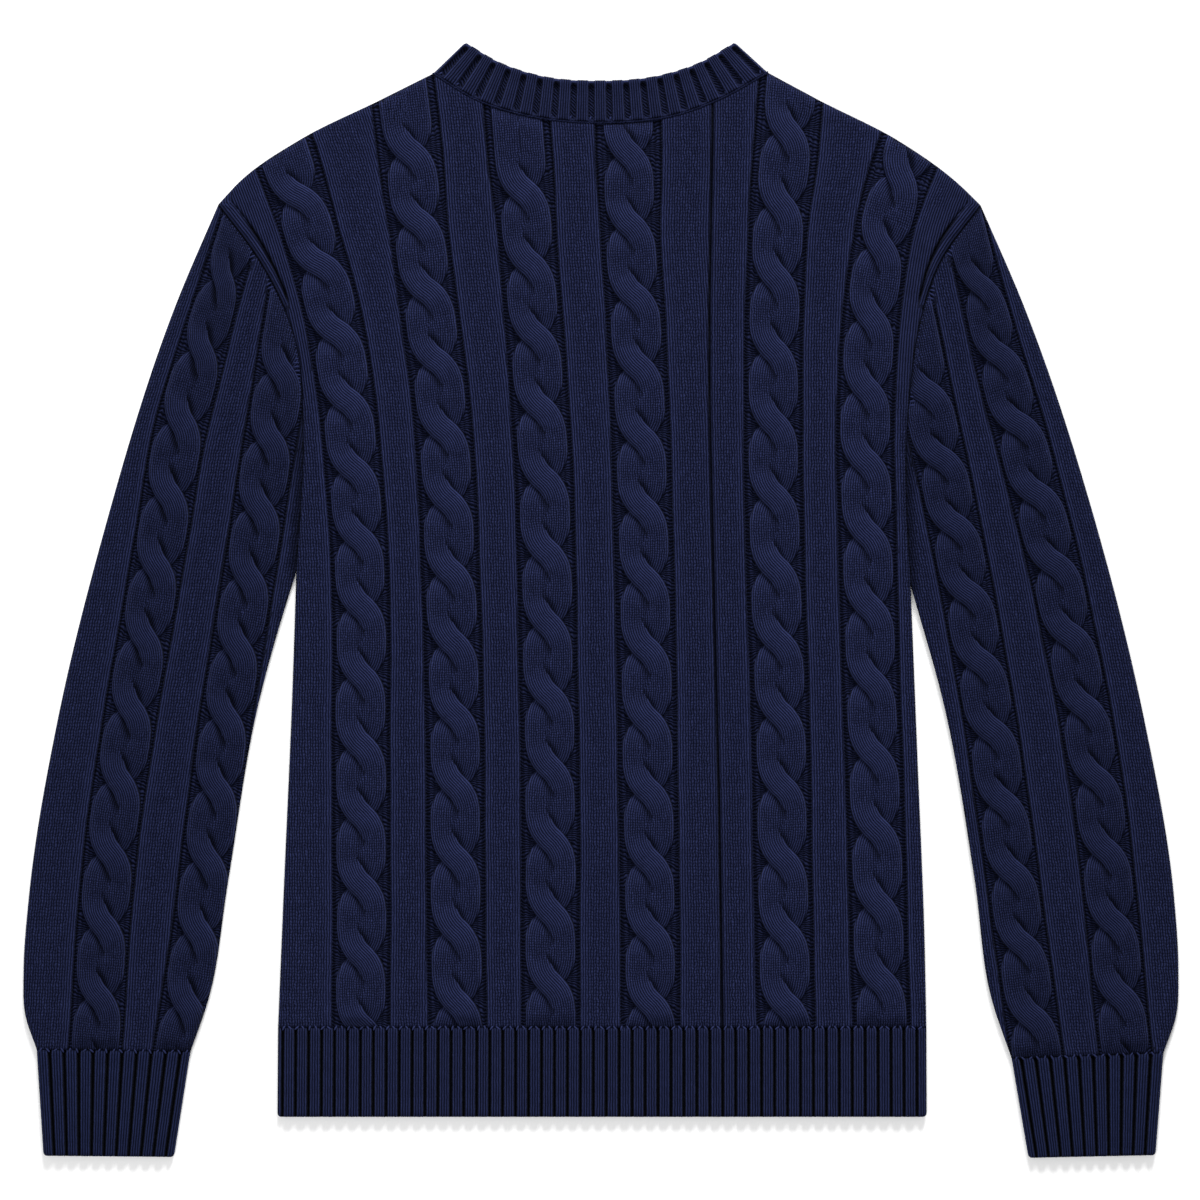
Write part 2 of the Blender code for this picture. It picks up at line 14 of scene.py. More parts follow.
import bmesh
import bpy
import numpy as np
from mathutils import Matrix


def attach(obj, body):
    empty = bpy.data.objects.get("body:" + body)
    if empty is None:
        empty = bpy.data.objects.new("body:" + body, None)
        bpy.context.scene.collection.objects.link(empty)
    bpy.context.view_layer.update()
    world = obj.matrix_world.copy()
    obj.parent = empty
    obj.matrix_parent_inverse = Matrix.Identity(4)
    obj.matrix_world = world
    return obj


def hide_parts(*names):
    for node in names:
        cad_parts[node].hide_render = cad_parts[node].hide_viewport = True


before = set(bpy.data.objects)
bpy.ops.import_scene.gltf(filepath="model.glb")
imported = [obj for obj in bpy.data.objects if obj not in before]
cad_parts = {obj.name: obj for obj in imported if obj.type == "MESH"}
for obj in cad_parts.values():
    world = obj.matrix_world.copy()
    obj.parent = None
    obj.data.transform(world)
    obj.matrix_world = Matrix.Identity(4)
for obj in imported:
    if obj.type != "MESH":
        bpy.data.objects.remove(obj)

LOG = logging.getLogger("sweater")

MM = 0.001
CENTRE_Y = 0.15              # height on the garment that becomes the origin

# Layers, from the surface up
WALL = 3.0                   # plain knit
UPPER_BASE = 3.3             # inside of the upper layer
CHANNEL_WALL = 1.0           # floor of a purl channel above the inside
SEAM_WALL = 1.1              # wall left at a linked seam
SEAM_RADIUS = 2.6            # the wall rounds down to a seam within this distance
FOLD_RADIUS = 4.6            # and over a fold within this one
FOLD_EDGE = 3.45             # height at which the upper layer meets a fold
SEAM_GAP = 0.05              # each piece stops this far short of its seam line
SEAM_SHADE = 0.9             # painted shade where the yarn is drawn down into a seam
SEAM_FADE = (0.3, 1.3)       # it fades between these distances from the seam

# Knit gauge
WALE = 3.5                   # width of a column of stitches
COURSE = 2.2                 # height of a row of stitches

# Columns of points beside an edge, a channel and a seam
EDGE_STEPS = (0.0, 0.25, 0.7, 1.4, 2.3, 3.4, 4.6, 5.6, 6.6, 7.6)
ROW_STEPS = (0.0, 0.25, 0.8, 1.7, 3.0, 4.6)
CHANNEL_STEPS = (3.2, 1.9, 1.1, 0.45, -0.1, -0.5, -0.8)
UNDER_CABLE_STEPS = (-0.4, -3.0, -6.0, -9.0)
CHANNEL_FOOT = 0.8           # the channel's floor starts this far outside the plain strip's edge
CHANNEL_LIP = 2.7            # width over which the strip's edge rounds down to the floor
MOST_SLANT = 1.4             # the columns spread by this at most where an edge slants
MERGE = 0.004                # points closer than this are one
CLOSE = 0.01                 # and places closer than this to a line lie on it
TRAITS = ("shade", "purl", "pull")   # painted shade (below 0 a painted highlight), purl side out, and stitches drawn out to long lines

NOTCH_RISE = 4.0             # right notches lie this far above a crossing, left ones below it
FIRST_TURN = 3               # the first crossing's number; the strands run straight above it
LAST_TURN = 17               # the number of crossings counted down from it

# Slow waves of cloth laid by hand: length in millimetres, shift for each seed, and strength
WAVES = ((31.0, 2.1, 1.0), (13.3, 4.7, 0.6))
CURVE_STEPS = 25             # steps between two measured points of a curve
LENGTH_STEPS = 200           # steps along a curve whose length is measured
LINE_STEPS = 120             # steps along an edge that is read as a line
MEETING_ROUNDS = 60          # for the height at which a column meets an edge
MEASURED_AT_ONCE = 3000      # places
LEVEL = 1e-9                 # an edge that rises by less is level
NO_SHADE = 0.01              # anything below isn't shaded

Array = np.ndarray
Arrays = tuple[Array, ...]
Line = Callable[[Array], Array]
Pair = tuple[float, float]
Piece = bpy.types.Object
Places = Sequence[Pair]
Socket = bpy.types.NodeSocket
Steps = tuple[float, ...]


class EdgeKind(Enum):
    """How a piece ends at an edge."""

    SEAM = "linked to its neighbour"
    FOLD = "turned down"


class Side(Enum):
    """Which side of the back view a piece is on."""

    LEFT = -1
    RIGHT = 1


@dataclass(frozen=True)
class Edge:
    """One edge of the laid garment, through its measured points."""

    kind: EdgeKind
    points: Places


@dataclass(frozen=True)
class CableTrack:
    """Where a cable runs: x at falling heights y, and its crossings down the track."""

    heights: Steps
    centres: Steps
    half_width: float
    first_crossing: float
    pitch: float
    growth: float


EDGES = {
    "hem": Edge(EdgeKind.SEAM, ((-213.4, -281.8), (215.0, -281.8))),
    "right_side": Edge(EdgeKind.FOLD, ((215.0, -281.8), (213.8, -223.7), (209.2, -104.9), (204.6, 9.9))),
    "right_armhole": Edge(EdgeKind.SEAM, ((204.6, 9.9), (201.3, 79.9), (203.9, 139.3), (211.2, 186.8),
                                          (223.7, 223.1), (250.8, 261.4))),
    "right_shoulder": Edge(EdgeKind.FOLD, ((250.8, 261.4), (236.9, 275.0), (197.3, 303.6),
                                           (144.5, 330.7), (110.2, 349.1))),
    "back_neck": Edge(EdgeKind.SEAM, ((110.2, 349.1), (78.5, 331.7), (52.1, 321.8), (0.0, 316.1),
                                      (-53.5, 321.8), (-79.9, 330.2), (-110.9, 348.5))),
    "front_neck": Edge(EdgeKind.SEAM, ((110.2, 349.1), (86.0, 308.0), (52.1, 279.0), (0.0, 268.0),
                                       (-52.1, 279.0), (-86.0, 308.0), (-110.9, 348.5))),
    "left_shoulder": Edge(EdgeKind.FOLD, ((-110.9, 348.5), (-145.9, 331.0), (-198.7, 304.9),
                                          (-238.3, 277.5), (-252.8, 262.0))),
    "left_armhole": Edge(EdgeKind.SEAM, ((-252.8, 262.0), (-226.4, 226.4), (-211.9, 200.0),
                                         (-201.3, 170.9), (-196.7, 112.0), (-201.3, 19.1))),
    "left_side": Edge(EdgeKind.FOLD, ((-201.3, 19.1), (-203.9, -58.7), (-209.9, -197.3),
                                      (-213.4, -281.8))),
    "left_cuff": Edge(EdgeKind.SEAM, ((-372.9, -296.3), (-271.3, -297.7))),
    "left_inner": Edge(EdgeKind.FOLD, ((-271.3, -297.7), (-259.4, -263.3), (-246.2, -184.1),
                                       (-225.7, -65.3), (-207.2, 0.7), (-201.3, 19.1))),
    "left_outer": Edge(EdgeKind.FOLD, ((-252.8, 262.0), (-279.8, 198.7), (-330.0, 40.3), (-359.0, -78.5),
                                       (-378.2, -197.3), (-381.5, -243.5), (-380.5, -273.2),
                                       (-372.9, -296.3))),
    "right_cuff": Edge(EdgeKind.SEAM, ((271.3, -302.3), (371.6, -298.6))),
    "right_inner": Edge(EdgeKind.FOLD, ((204.6, 9.9), (207.6, -0.5), (225.7, -65.3), (246.8, -184.1),
                                        (258.1, -263.3), (271.3, -302.3))),
    "right_outer": Edge(EdgeKind.FOLD, ((371.6, -298.6), (380.2, -273.2), (381.5, -243.5),
                                        (378.8, -197.3), (359.0, -78.5), (330.0, 40.3), (277.9, 198.7),
                                        (250.8, 261.4))),
}
BACK_HEIGHTS = (310.0, 245.0, 180.0, 110.0, 20.0, -80.0, -282.0)
BACK_TRACKS = tuple(CableTrack(BACK_HEIGHTS, *row) for row in (
    ((-214.0, -192.7, -175.5, -165.4, -159.2, -158.4, -158.4), 17.0, 267.6, 44.6, 0.09),
    ((-127.9, -120.3, -111.6, -103.9, -99.2, -96.8, -95.0), 17.2, 296.7, 45.5, 0.11),
    ((-54.5, -49.3, -43.8, -38.9, -36.0, -34.0, -33.0), 17.2, 271.0, 47.6, 0.0),
    ((18.3, 19.6, 23.0, 26.4, 28.7, 30.7, 33.0), 17.5, 295.4, 46.7, 0.0),
    ((123.0, 117.3, 114.4, 113.6, 115.6, 118.4, 122.1), 17.2, 309.9, 48.0, 0.0),
    ((208.0, 187.0, 178.0, 174.8, 176.4, 179.4, 185.5), 17.0, 280.2, 46.2, 0.18),
))
SLEEVE_TRACKS = {
    Side.LEFT: (
        CableTrack((268, 190, 110, 40, -60, -190, -290),
                   (-232.0, -256.6, -278.2, -290.4, -308.0, -326.6, -333.4), 16.5, 212.9, 47.4, 0.0),
        CableTrack((218, 126, 34, -59, -151, -245, -300),
                   (-200.6, -215.2, -229.7, -244.9, -257.4, -269.9, -278.8), 16.5, 151.5, 44.6, 0.2),
    ),
    Side.RIGHT: (
        CableTrack((261, 184, 92, 0, -92, -187, -290),
                   (237.0, 256.7, 281.8, 304.5, 322.7, 335.3, 345.6), 16.5, 209.0, 45.4, 0.15),
        CableTrack((205, 120, 27, -65, -156, -250, -310),
                   (200.6, 218.5, 237.6, 254.8, 268.0, 281.2, 289.5), 16.5, 138.4, 43.3, 0.28),
    ),
}
PURL_HEIGHTS = (312.0, 200.0, 130.0, 0.0, -130.0, -282.0)
PURL_CENTRES = (73.6, 71.6, 71.6, 74.6, 77.9, 80.2)
BACK_PARTS = tuple((name, False) for name in (
    "hem", "right_side", "right_armhole", "right_shoulder", "back_neck", "left_shoulder",
    "left_armhole", "left_side"))
FRONT_PARTS = tuple(("front_neck", turned) if name == "back_neck" else (name, turned)
                    for name, turned in BACK_PARTS)
SLEEVE_PARTS = {
    Side.LEFT: (("left_cuff", False), ("left_inner", False), ("left_armhole", True), ("left_outer", False)),
    Side.RIGHT: (("right_cuff", False), ("right_outer", False), ("right_armhole", True),
                 ("right_inner", False)),
}


def hermite(t: Array, low: Array, high: Array, into: Array, out: Array) -> Array:
    """Step smoothly between two values.

    Args:
        t: Share of the way, from 0 to 1.
        low: Value at 0.
        high: Value at 1.
        into: Slope at 0.
        out: Slope at 1.

    Returns:
        The values at t.
    """
    return ((2 * t**3 - 3 * t**2 + 1) * low + (t**3 - 2 * t**2 + t) * into
            + (3 * t**2 - 2 * t**3) * high + (t**3 - t**2) * out)


def ease(values: Array, low: float, high: float) -> Array:
    """Rise smoothly from 0 to 1.

    Args:
        values: Where to look.
        low: The rise starts here.
        high: And ends here.

    Returns:
        The share of the rise at each value.
    """
    share = np.clip((np.asarray(values, float) - low) / (high - low), 0.0, 1.0)
    return share * share * (3.0 - 2.0 * share)


def quarter_round(share: Array) -> Array:
    """Height of a rounded edge, from 0 at share 0 to 1 at share 1 and past it."""
    return np.sqrt(1.0 - (1.0 - np.clip(share, 0.0, 1.0)) ** 2)


def smooth_curve(points: Places, shares: Sequence[float]) -> Array:
    """Follow a smooth curve through points.

    Args:
        points: Places that the curve passes.
        shares: Shares of the curve's length.

    Returns:
        One place for each share.
    """
    places = np.array(points, float)
    if len(places) > 2:
        chords = np.linalg.norm(np.diff(places, axis=0), axis=1)
        knots = np.concatenate(([0.0], np.cumsum(chords)))
        tangents = np.gradient(places, knots, axis=0)
        steps = np.linspace(0.0, 1.0, CURVE_STEPS)[:, None]
        places = np.vstack([hermite(steps, places[i], places[i + 1], chord * tangents[i],
                                    chord * tangents[i + 1]) for i, chord in enumerate(chords)])
    lengths = np.concatenate(([0.0], np.cumsum(np.linalg.norm(np.diff(places, axis=0), axis=1))))
    target = np.asarray(shares) * lengths[-1]
    return np.column_stack([np.interp(target, lengths, places[:, axis]) for axis in (0, 1)])


def curve_length(points: Places) -> float:
    """Length of the smooth curve through the points."""
    places = smooth_curve(points, np.linspace(0.0, 1.0, LENGTH_STEPS))
    return float(np.linalg.norm(np.diff(places, axis=0), axis=1).sum())


def edge_line(names: Sequence[str], known: int, inset: float) -> Line:
    """Read edges that follow each other as one line.

    Args:
        names: Edges that together have one place for each value of the known coordinate.
        known: 0 where x is known and 1 where y is.
        inset: The line is moved this far along the other coordinate.

    Returns:
        A function from the known coordinate to the other one.
    """
    shares = np.linspace(0.0, 1.0, LINE_STEPS)
    places = np.vstack([smooth_curve(EDGES[name].points, shares) for name in names])
    places = places[np.argsort(places[:, known], kind="stable")]
    return lambda values: np.interp(values, places[:, known], places[:, 1 - known]) + inset


def line_of(names: Sequence[str], inset: float = 0.0) -> Line:
    """Edges as a line down the garment, from heights y to places x."""
    return edge_line(names, 1, inset)


def height_of(names: Sequence[str], inset: float = 0.0) -> Line:
    """Edges as a line across the garment, from places x to heights y."""
    return edge_line(names, 0, inset)


def slope_of(line: Line, y: Array) -> Array:
    """Slope dx/dy of a line at the heights y."""
    return (line(y + 1.0) - line(y - 1.0)) / 2.0


def slant(line: Line, y: Array) -> Array:
    """Distance along x for each millimetre square to a line, held where the line is nearly level."""
    return np.minimum(np.sqrt(1.0 + slope_of(line, y) ** 2), MOST_SLANT)


def darker_painted_shade(shade: Array, other: Array) -> Array:
    """Combine two painted shades, and leave a place with a painted highlight as it is where the other one
    is none.

    Args:
        shade: Painted shade of each place, below 0 where it has a painted highlight instead.
        other: Painted shade that is laid over it, from 0 up.

    Returns:
        The deeper painted shade at each place.
    """
    return np.where(other > NO_SHADE, np.maximum(shade, other), shade)


def unevenness(along: Array, seed: float) -> Array:
    """Slow waves from -1 to 1 along a length, different for each seed."""
    waves = sum(strength * np.sin(along / length + shift * seed) for length, shift, strength in WAVES)
    return waves / sum(strength for _, _, strength in WAVES)


def one_of_many(number: int, apart: float, seed: float) -> float:
    """How much one of many like pieces differs from the others, from -1 to 1."""
    return float(unevenness(np.array([apart * number]), seed)[0])


class Outline:
    """Closed outline of a flat piece, counter-clockwise, with what each part of it is."""

    STEP = 5.0
    CORNER_REACH = 9.0  # folds are moved less within this distance of a corner

    def __init__(self, parts: Sequence[tuple[str, bool]]) -> None:
        """Sample the edges.

        Args:
            parts: Names of the edges in order, and whether each runs backwards.
        """
        places, folded, corners = [], [], []
        for name, backwards in parts:
            edge = EDGES[name]
            steps = max(2, round(curve_length(edge.points) / self.STEP))
            run = smooth_curve(edge.points, np.linspace(0.0, 1.0, steps + 1))
            if backwards:
                run = run[::-1]
            corners.append(run[0])
            places.extend(run[:-1])
            folded.extend([edge.kind is EdgeKind.FOLD] * steps)
        self.places = np.array(places)
        self.folded = np.array(folded)
        self.corners = np.array(corners)
        self.steps = np.roll(self.places, -1, axis=0) - self.places
        ahead = self.steps / np.linalg.norm(self.steps, axis=1)[:, None]
        self.inward = np.column_stack((-ahead[:, 1], ahead[:, 0]))

    def span(self) -> Pair:
        """Width and length of the outline's box."""
        low, high = self.places.min(axis=0), self.places.max(axis=0)
        return float(high[0] - low[0]), float(high[1] - low[1])

    def measure(self, places: Array) -> Arrays:
        """Find how places lie to the outline.

        Args:
            places: Places to look at, n by 2.

        Returns:
            Which are inside, their distances to folds and to seams, and the nearest outline places.
        """
        parts = np.array_split(places, len(places) // MEASURED_AT_ONCE + 1)
        results = [self._measure_some(part) for part in parts]
        return tuple(np.concatenate(column) for column in zip(*results))

    def _measure_some(self, places: Array) -> Arrays:
        """Measure a few thousand places at once.

        Args:
            places: Places to look at, n by 2.

        Returns:
            What measure() returns.
        """
        x, y = places[:, 0][:, None], places[:, 1][:, None]
        end = self.places + self.steps
        crosses = (self.places[:, 1] > y) != (end[:, 1] > y)
        rise = np.where(np.abs(self.steps[:, 1]) < LEVEL, LEVEL, self.steps[:, 1])
        reach = self.places[:, 0] + (y - self.places[:, 1]) * self.steps[:, 0] / rise
        inside = (crosses & (x < reach)).sum(axis=1) % 2 == 1
        offset = places[:, None, :] - self.places[None]
        share = np.clip((offset * self.steps).sum(axis=2) / (self.steps**2).sum(axis=1), 0.0, 1.0)
        gap = np.linalg.norm(offset - share[:, :, None] * self.steps, axis=2)
        nearest = gap.argmin(axis=1)
        rows = np.arange(len(places))
        foot = self.places[nearest] + share[rows, nearest][:, None] * self.steps[nearest]
        fold = np.where(self.folded, gap, np.inf).min(axis=1)
        seam = np.where(self.folded, np.inf, gap).min(axis=1)
        return inside, fold, seam, foot

    def inset(self, loop: Array, distance: float) -> Array:
        """Move a loop that lies on the outline inwards at its folds, less towards the corners.

        Args:
            loop: Places on the outline, n by 2.
            distance: How far to move them.

        Returns:
            The moved places.
        """
        middles = self.places + self.steps / 2.0
        gap = np.linalg.norm(loop[:, None, :] - middles[None], axis=2)
        order = np.argsort(gap, axis=1)[:, :2]
        normal = self.inward[order[:, 0]] + self.inward[order[:, 1]]
        normal /= np.linalg.norm(normal, axis=1)[:, None]
        corner = np.linalg.norm(loop[:, None, :] - self.corners[None], axis=2).min(axis=1)
        _, fold, seam, _ = self.measure(loop)
        share = np.clip(corner / self.CORNER_REACH, 0.0, 1.0)
        amount = np.where(fold <= seam, distance * share, 0.0)
        return loop + normal * amount[:, None]

    def shape(self, places: Array, heights: Array) -> Array:
        """Round a surface over at folds and down at seams.

        Args:
            places: Places of the surface, n by 2.
            heights: Its heights away from any edge.

        Returns:
            The rounded heights.
        """
        _, fold, seam, _ = self.measure(places)
        turned = FOLD_EDGE + (heights - FOLD_EDGE) * quarter_round(fold / FOLD_RADIUS)
        low = np.minimum(UPPER_BASE + SEAM_WALL, turned)
        return low + (turned - low) * quarter_round(seam / SEAM_RADIUS)


class ClothMesh:
    """Places, faces and stitch coordinates of closed cloth, gathered until it becomes an object."""

    def __init__(self) -> None:
        """Start with nothing."""
        self.places: list[Array] = []
        self.stitches: list[Array] = []
        self.traits: list[Array] = []
        self.faces: list[tuple[int, ...]] = []
        self.count = 0

    def add(self, places: Array, stitches: Array | None = None, traits: Array | None = None) -> Array:
        """Add points.

        Args:
            places: n by 3.
            stitches: Wale and course of each point, or none for a plain grid of stitches.
            traits: How much painted shade each point has, and how purled and drawn out it is, or none for
                plain knit.

        Returns:
            The points' numbers.
        """
        if stitches is None:
            stitches = places[:, :2] / (WALE, COURSE)
        if traits is None:
            traits = np.zeros((len(places), len(TRAITS)))
        self.places.append(places)
        self.stitches.append(stitches)
        self.traits.append(traits)
        self.count += len(places)
        return np.arange(self.count - len(places), self.count)

    def add_grid(self, places: Array, stitches: Array, traits: Array) -> Array:
        """Add a surface of rows and columns that faces up where rows run up and columns to the right.

        Args:
            places: rows by columns by 3.
            stitches: rows by columns by 2.
            traits: rows by columns by 3.

        Returns:
            The points' numbers, rows by columns.
        """
        rows, columns = places.shape[:2]
        numbers = self.add(places.reshape(-1, 3), stitches.reshape(-1, 2),
                           traits.reshape(-1, len(TRAITS)))
        numbers = numbers.reshape(rows, columns)
        quads = np.stack((numbers[:-1, :-1], numbers[:-1, 1:], numbers[1:, 1:], numbers[1:, :-1]), axis=-1)
        self.faces.extend(map(tuple, quads.reshape(-1, 4).tolist()))
        return numbers

    def add_strip(self, upper: Array, lower: Array, chosen: Array | None = None) -> None:
        """Join two loops of points, the upper one counter-clockwise seen from above, facing outwards.

        Args:
            upper: Numbers of the upper loop.
            lower: Numbers of the lower loop, as many.
            chosen: Which of the faces are made, or none for all.
        """
        count = len(upper)
        for i in range(count):
            j = (i + 1) % count
            if chosen is None or chosen[i]:
                self.faces.append((int(lower[i]), int(lower[j]), int(upper[j]), int(upper[i])))

    def build(self, name: str, finish: "KnitFinish", fill_holes: bool = False) -> Piece:
        """Make the object.

        Args:
            name: The piece's name.
            finish: Its yarn.
            fill_holes: Whether openings are closed with faces.

        Returns:
            The finished piece.
        """
        places = np.vstack(self.places)
        stitches = np.vstack(self.stitches)
        traits = np.vstack(self.traits)
        _, first, where = np.unique(np.round(places / MERGE).astype(np.int64), axis=0,
                                    return_index=True, return_inverse=True)
        where = where.reshape(-1)
        faces, corners, known = [], [], set()
        for face in self.faces:
            merged = [(int(where[i]), i) for i in face]
            kept = [pair for pair, before in zip(merged, merged[-1:] + merged[:-1]) if pair[0] != before[0]]
            numbers = [pair[0] for pair in kept]
            key = tuple(sorted(numbers))
            if len(numbers) > 2 and len(set(numbers)) == len(numbers) and key not in known:
                known.add(key)
                faces.append(numbers)
                corners.extend(pair[1] for pair in kept)
        mesh = bpy.data.meshes.new(name)
        local = (places[first] - (0.0, CENTRE_Y, 0.0)) * MM
        mesh.from_pydata(local.tolist(), [], faces)
        layer = mesh.uv_layers.new(name="stitches")
        layer.data.foreach_set("uv", stitches[corners].astype(np.float32).ravel())
        for column, trait in enumerate(TRAITS):
            values = mesh.attributes.new(trait, "FLOAT", "POINT")
            values.data.foreach_set("value", traits[first, column].astype(np.float32))
        model = bmesh.new()
        model.from_mesh(mesh)
        bmesh.ops.delete(model, geom=[v for v in model.verts if not v.link_faces], context="VERTS")
        if fill_holes:
            bmesh.ops.holes_fill(model, edges=[e for e in model.edges if e.is_boundary], sides=0)
        bmesh.ops.recalc_face_normals(model, faces=model.faces)
        model.to_mesh(mesh)
        model.free()
        mesh.shade_smooth()
        mesh.set_sharp_from_angle(angle=math.radians(finish.crease_angle))
        mesh.materials.append(finish.material())
        piece = bpy.data.objects.new(name, mesh)
        bpy.context.scene.collection.objects.link(piece)
        LOG.info("%s: %d faces", name, len(mesh.polygons))
        return piece


@dataclass(frozen=True)
class StitchPattern:
    """Knit and purl stitches as nodes of a yarn's material, on the piece's stitch coordinates."""

    tree: bpy.types.NodeTree
    finish: "KnitFinish"
    wander_scale: float = 260.0  # waves that move stitches off their grid
    course_drift: float = 2.0  # more along a wale than across it
    straighter: float = 0.75  # share of the drift that drawn-out stitches lose
    closer: float = 0.9  # share of the gaps that they lose
    calmer: float = 0.6  # share of the patchiness that they lose
    leg_lean: float = 0.7  # courses by which a knit stitch's legs lean
    purl_bend: float = 0.4  # courses by which a purl bump bends
    purl_power: float = 2.2  # higher for narrower bumps
    purl_fall: float = 0.6  # share lost at the wale's edges

    def maths(self, operation: str, *values: object) -> Socket:
        """Add a sum to the tree.

        Args:
            operation: Name of the Math node's operation.
            values: Numbers or sockets that go into it.

        Returns:
            The result's socket.
        """
        node = self.tree.nodes.new("ShaderNodeMath")
        node.operation = operation
        for slot, value in zip(node.inputs, values):
            if isinstance(value, (int, float)):
                slot.default_value = value
            else:
                self.tree.links.new(value, slot)
        return node.outputs[0]

    def noise(self, scale: float, detail: float) -> bpy.types.Node:
        """Add a noise on the piece's Object coordinates.

        Args:
            scale: Its waves in a metre.
            detail: How many finer waves lie on them.

        Returns:
            The noise's node.
        """
        node = self.tree.nodes.new("ShaderNodeTexNoise")
        node.inputs["Scale"].default_value = scale
        node.inputs["Detail"].default_value = detail
        place = self.tree.nodes.new("ShaderNodeTexCoord").outputs["Object"]
        self.tree.links.new(place, node.inputs["Vector"])
        return node

    def weaker(self, value: float, share: float, pull: Socket) -> Socket:
        """Take a share off a value where the stitches are drawn out."""
        return self.maths("MULTIPLY_ADD", pull, -share * value, value)

    def arch(self, value: Socket) -> Socket:
        """Rise from 0 to 1 and back for each whole number of a value."""
        return self.maths("SINE", self.maths("MULTIPLY", self.maths("FRACT", value), math.pi))

    def grid(self, pull: Socket) -> tuple[Socket, Socket]:
        """Read the stitch coordinates, moved a little off their grid.

        Args:
            pull: How drawn out the stitches are.

        Returns:
            The wale and the course.
        """
        stitches = self.tree.nodes.new("ShaderNodeUVMap")
        stitches.uv_map = "stitches"
        parts = self.tree.nodes.new("ShaderNodeSeparateXYZ")
        self.tree.links.new(stitches.outputs[0], parts.inputs[0])
        ways = self.tree.nodes.new("ShaderNodeSeparateColor")
        self.tree.links.new(self.noise(self.wander_scale, 1.0).outputs["Color"], ways.inputs[0])
        drift = self.finish.drift
        loose = self.weaker(drift, self.straighter, pull)
        wale = self.maths("MULTIPLY_ADD", self.maths("SUBTRACT", ways.outputs[0], 0.5), loose,
                          parts.outputs[0])
        course = self.maths("MULTIPLY_ADD", self.maths("SUBTRACT", ways.outputs[1], 0.5),
                            self.course_drift * drift, parts.outputs[1])
        return wale, course

    def patches(self, wale: Socket, course: Socket, pull: Socket) -> Socket:
        """Give each leg of each stitch a strength of its own.

        Args:
            wale: The wale.
            course: The course.
            pull: How drawn out the stitches are.

        Returns:
            The strength, around 1.
        """
        cell = self.tree.nodes.new("ShaderNodeCombineXYZ")
        self.tree.links.new(self.maths("FLOOR", self.maths("MULTIPLY", wale, 2.0)), cell.inputs[0])
        self.tree.links.new(self.maths("FLOOR", course), cell.inputs[1])
        chance = self.tree.nodes.new("ShaderNodeTexWhiteNoise")
        chance.noise_dimensions = "2D"
        self.tree.links.new(cell.outputs[0], chance.inputs["Vector"])
        spread = self.weaker(self.finish.patchiness, self.calmer, pull)
        return self.maths("MULTIPLY_ADD", self.maths("SUBTRACT", chance.outputs["Value"], 0.5), spread, 1.0)

    def height(self) -> tuple[Socket, Socket]:
        """Lay out knit stitches, each with two leaning legs, and purl stitches, each one bent bump.

        Returns:
            Their height from 0 to 1, and the place's painted shade.
        """
        maths = self.maths
        traits = []
        for name in TRAITS:
            node = self.tree.nodes.new("ShaderNodeAttribute")
            node.attribute_name = name
            traits.append(node.outputs["Fac"])
        shade, purl, pull = traits
        wale, course = self.grid(pull)
        across = maths("ABSOLUTE", maths("SUBTRACT", maths("FRACT", wale), 0.5))
        leg = maths("SINE", maths("MULTIPLY", across, 2.0 * math.pi))
        leaning = maths("SUBTRACT", course, maths("MULTIPLY", across, self.leg_lean))
        gap = maths("SUBTRACT", 1.0, self.arch(leaning))
        depth = self.weaker(self.finish.stitch_break, self.closer, pull)
        knitted = maths("MULTIPLY", leg, maths("SUBTRACT", 1.0, maths("MULTIPLY", gap, depth)))
        bump = maths("POWER", self.arch(maths("MULTIPLY_ADD", across, self.purl_bend, course)),
                     self.purl_power)
        cross = maths("MULTIPLY_ADD", self.arch(wale), self.purl_fall, 1.0 - self.purl_fall)
        purled = maths("MULTIPLY", bump, cross)
        mixed = maths("ADD", maths("MULTIPLY", knitted, maths("SUBTRACT", 1.0, purl)),
                      maths("MULTIPLY", purled, purl))
        return maths("MULTIPLY", mixed, self.patches(wale, course, pull)), shade


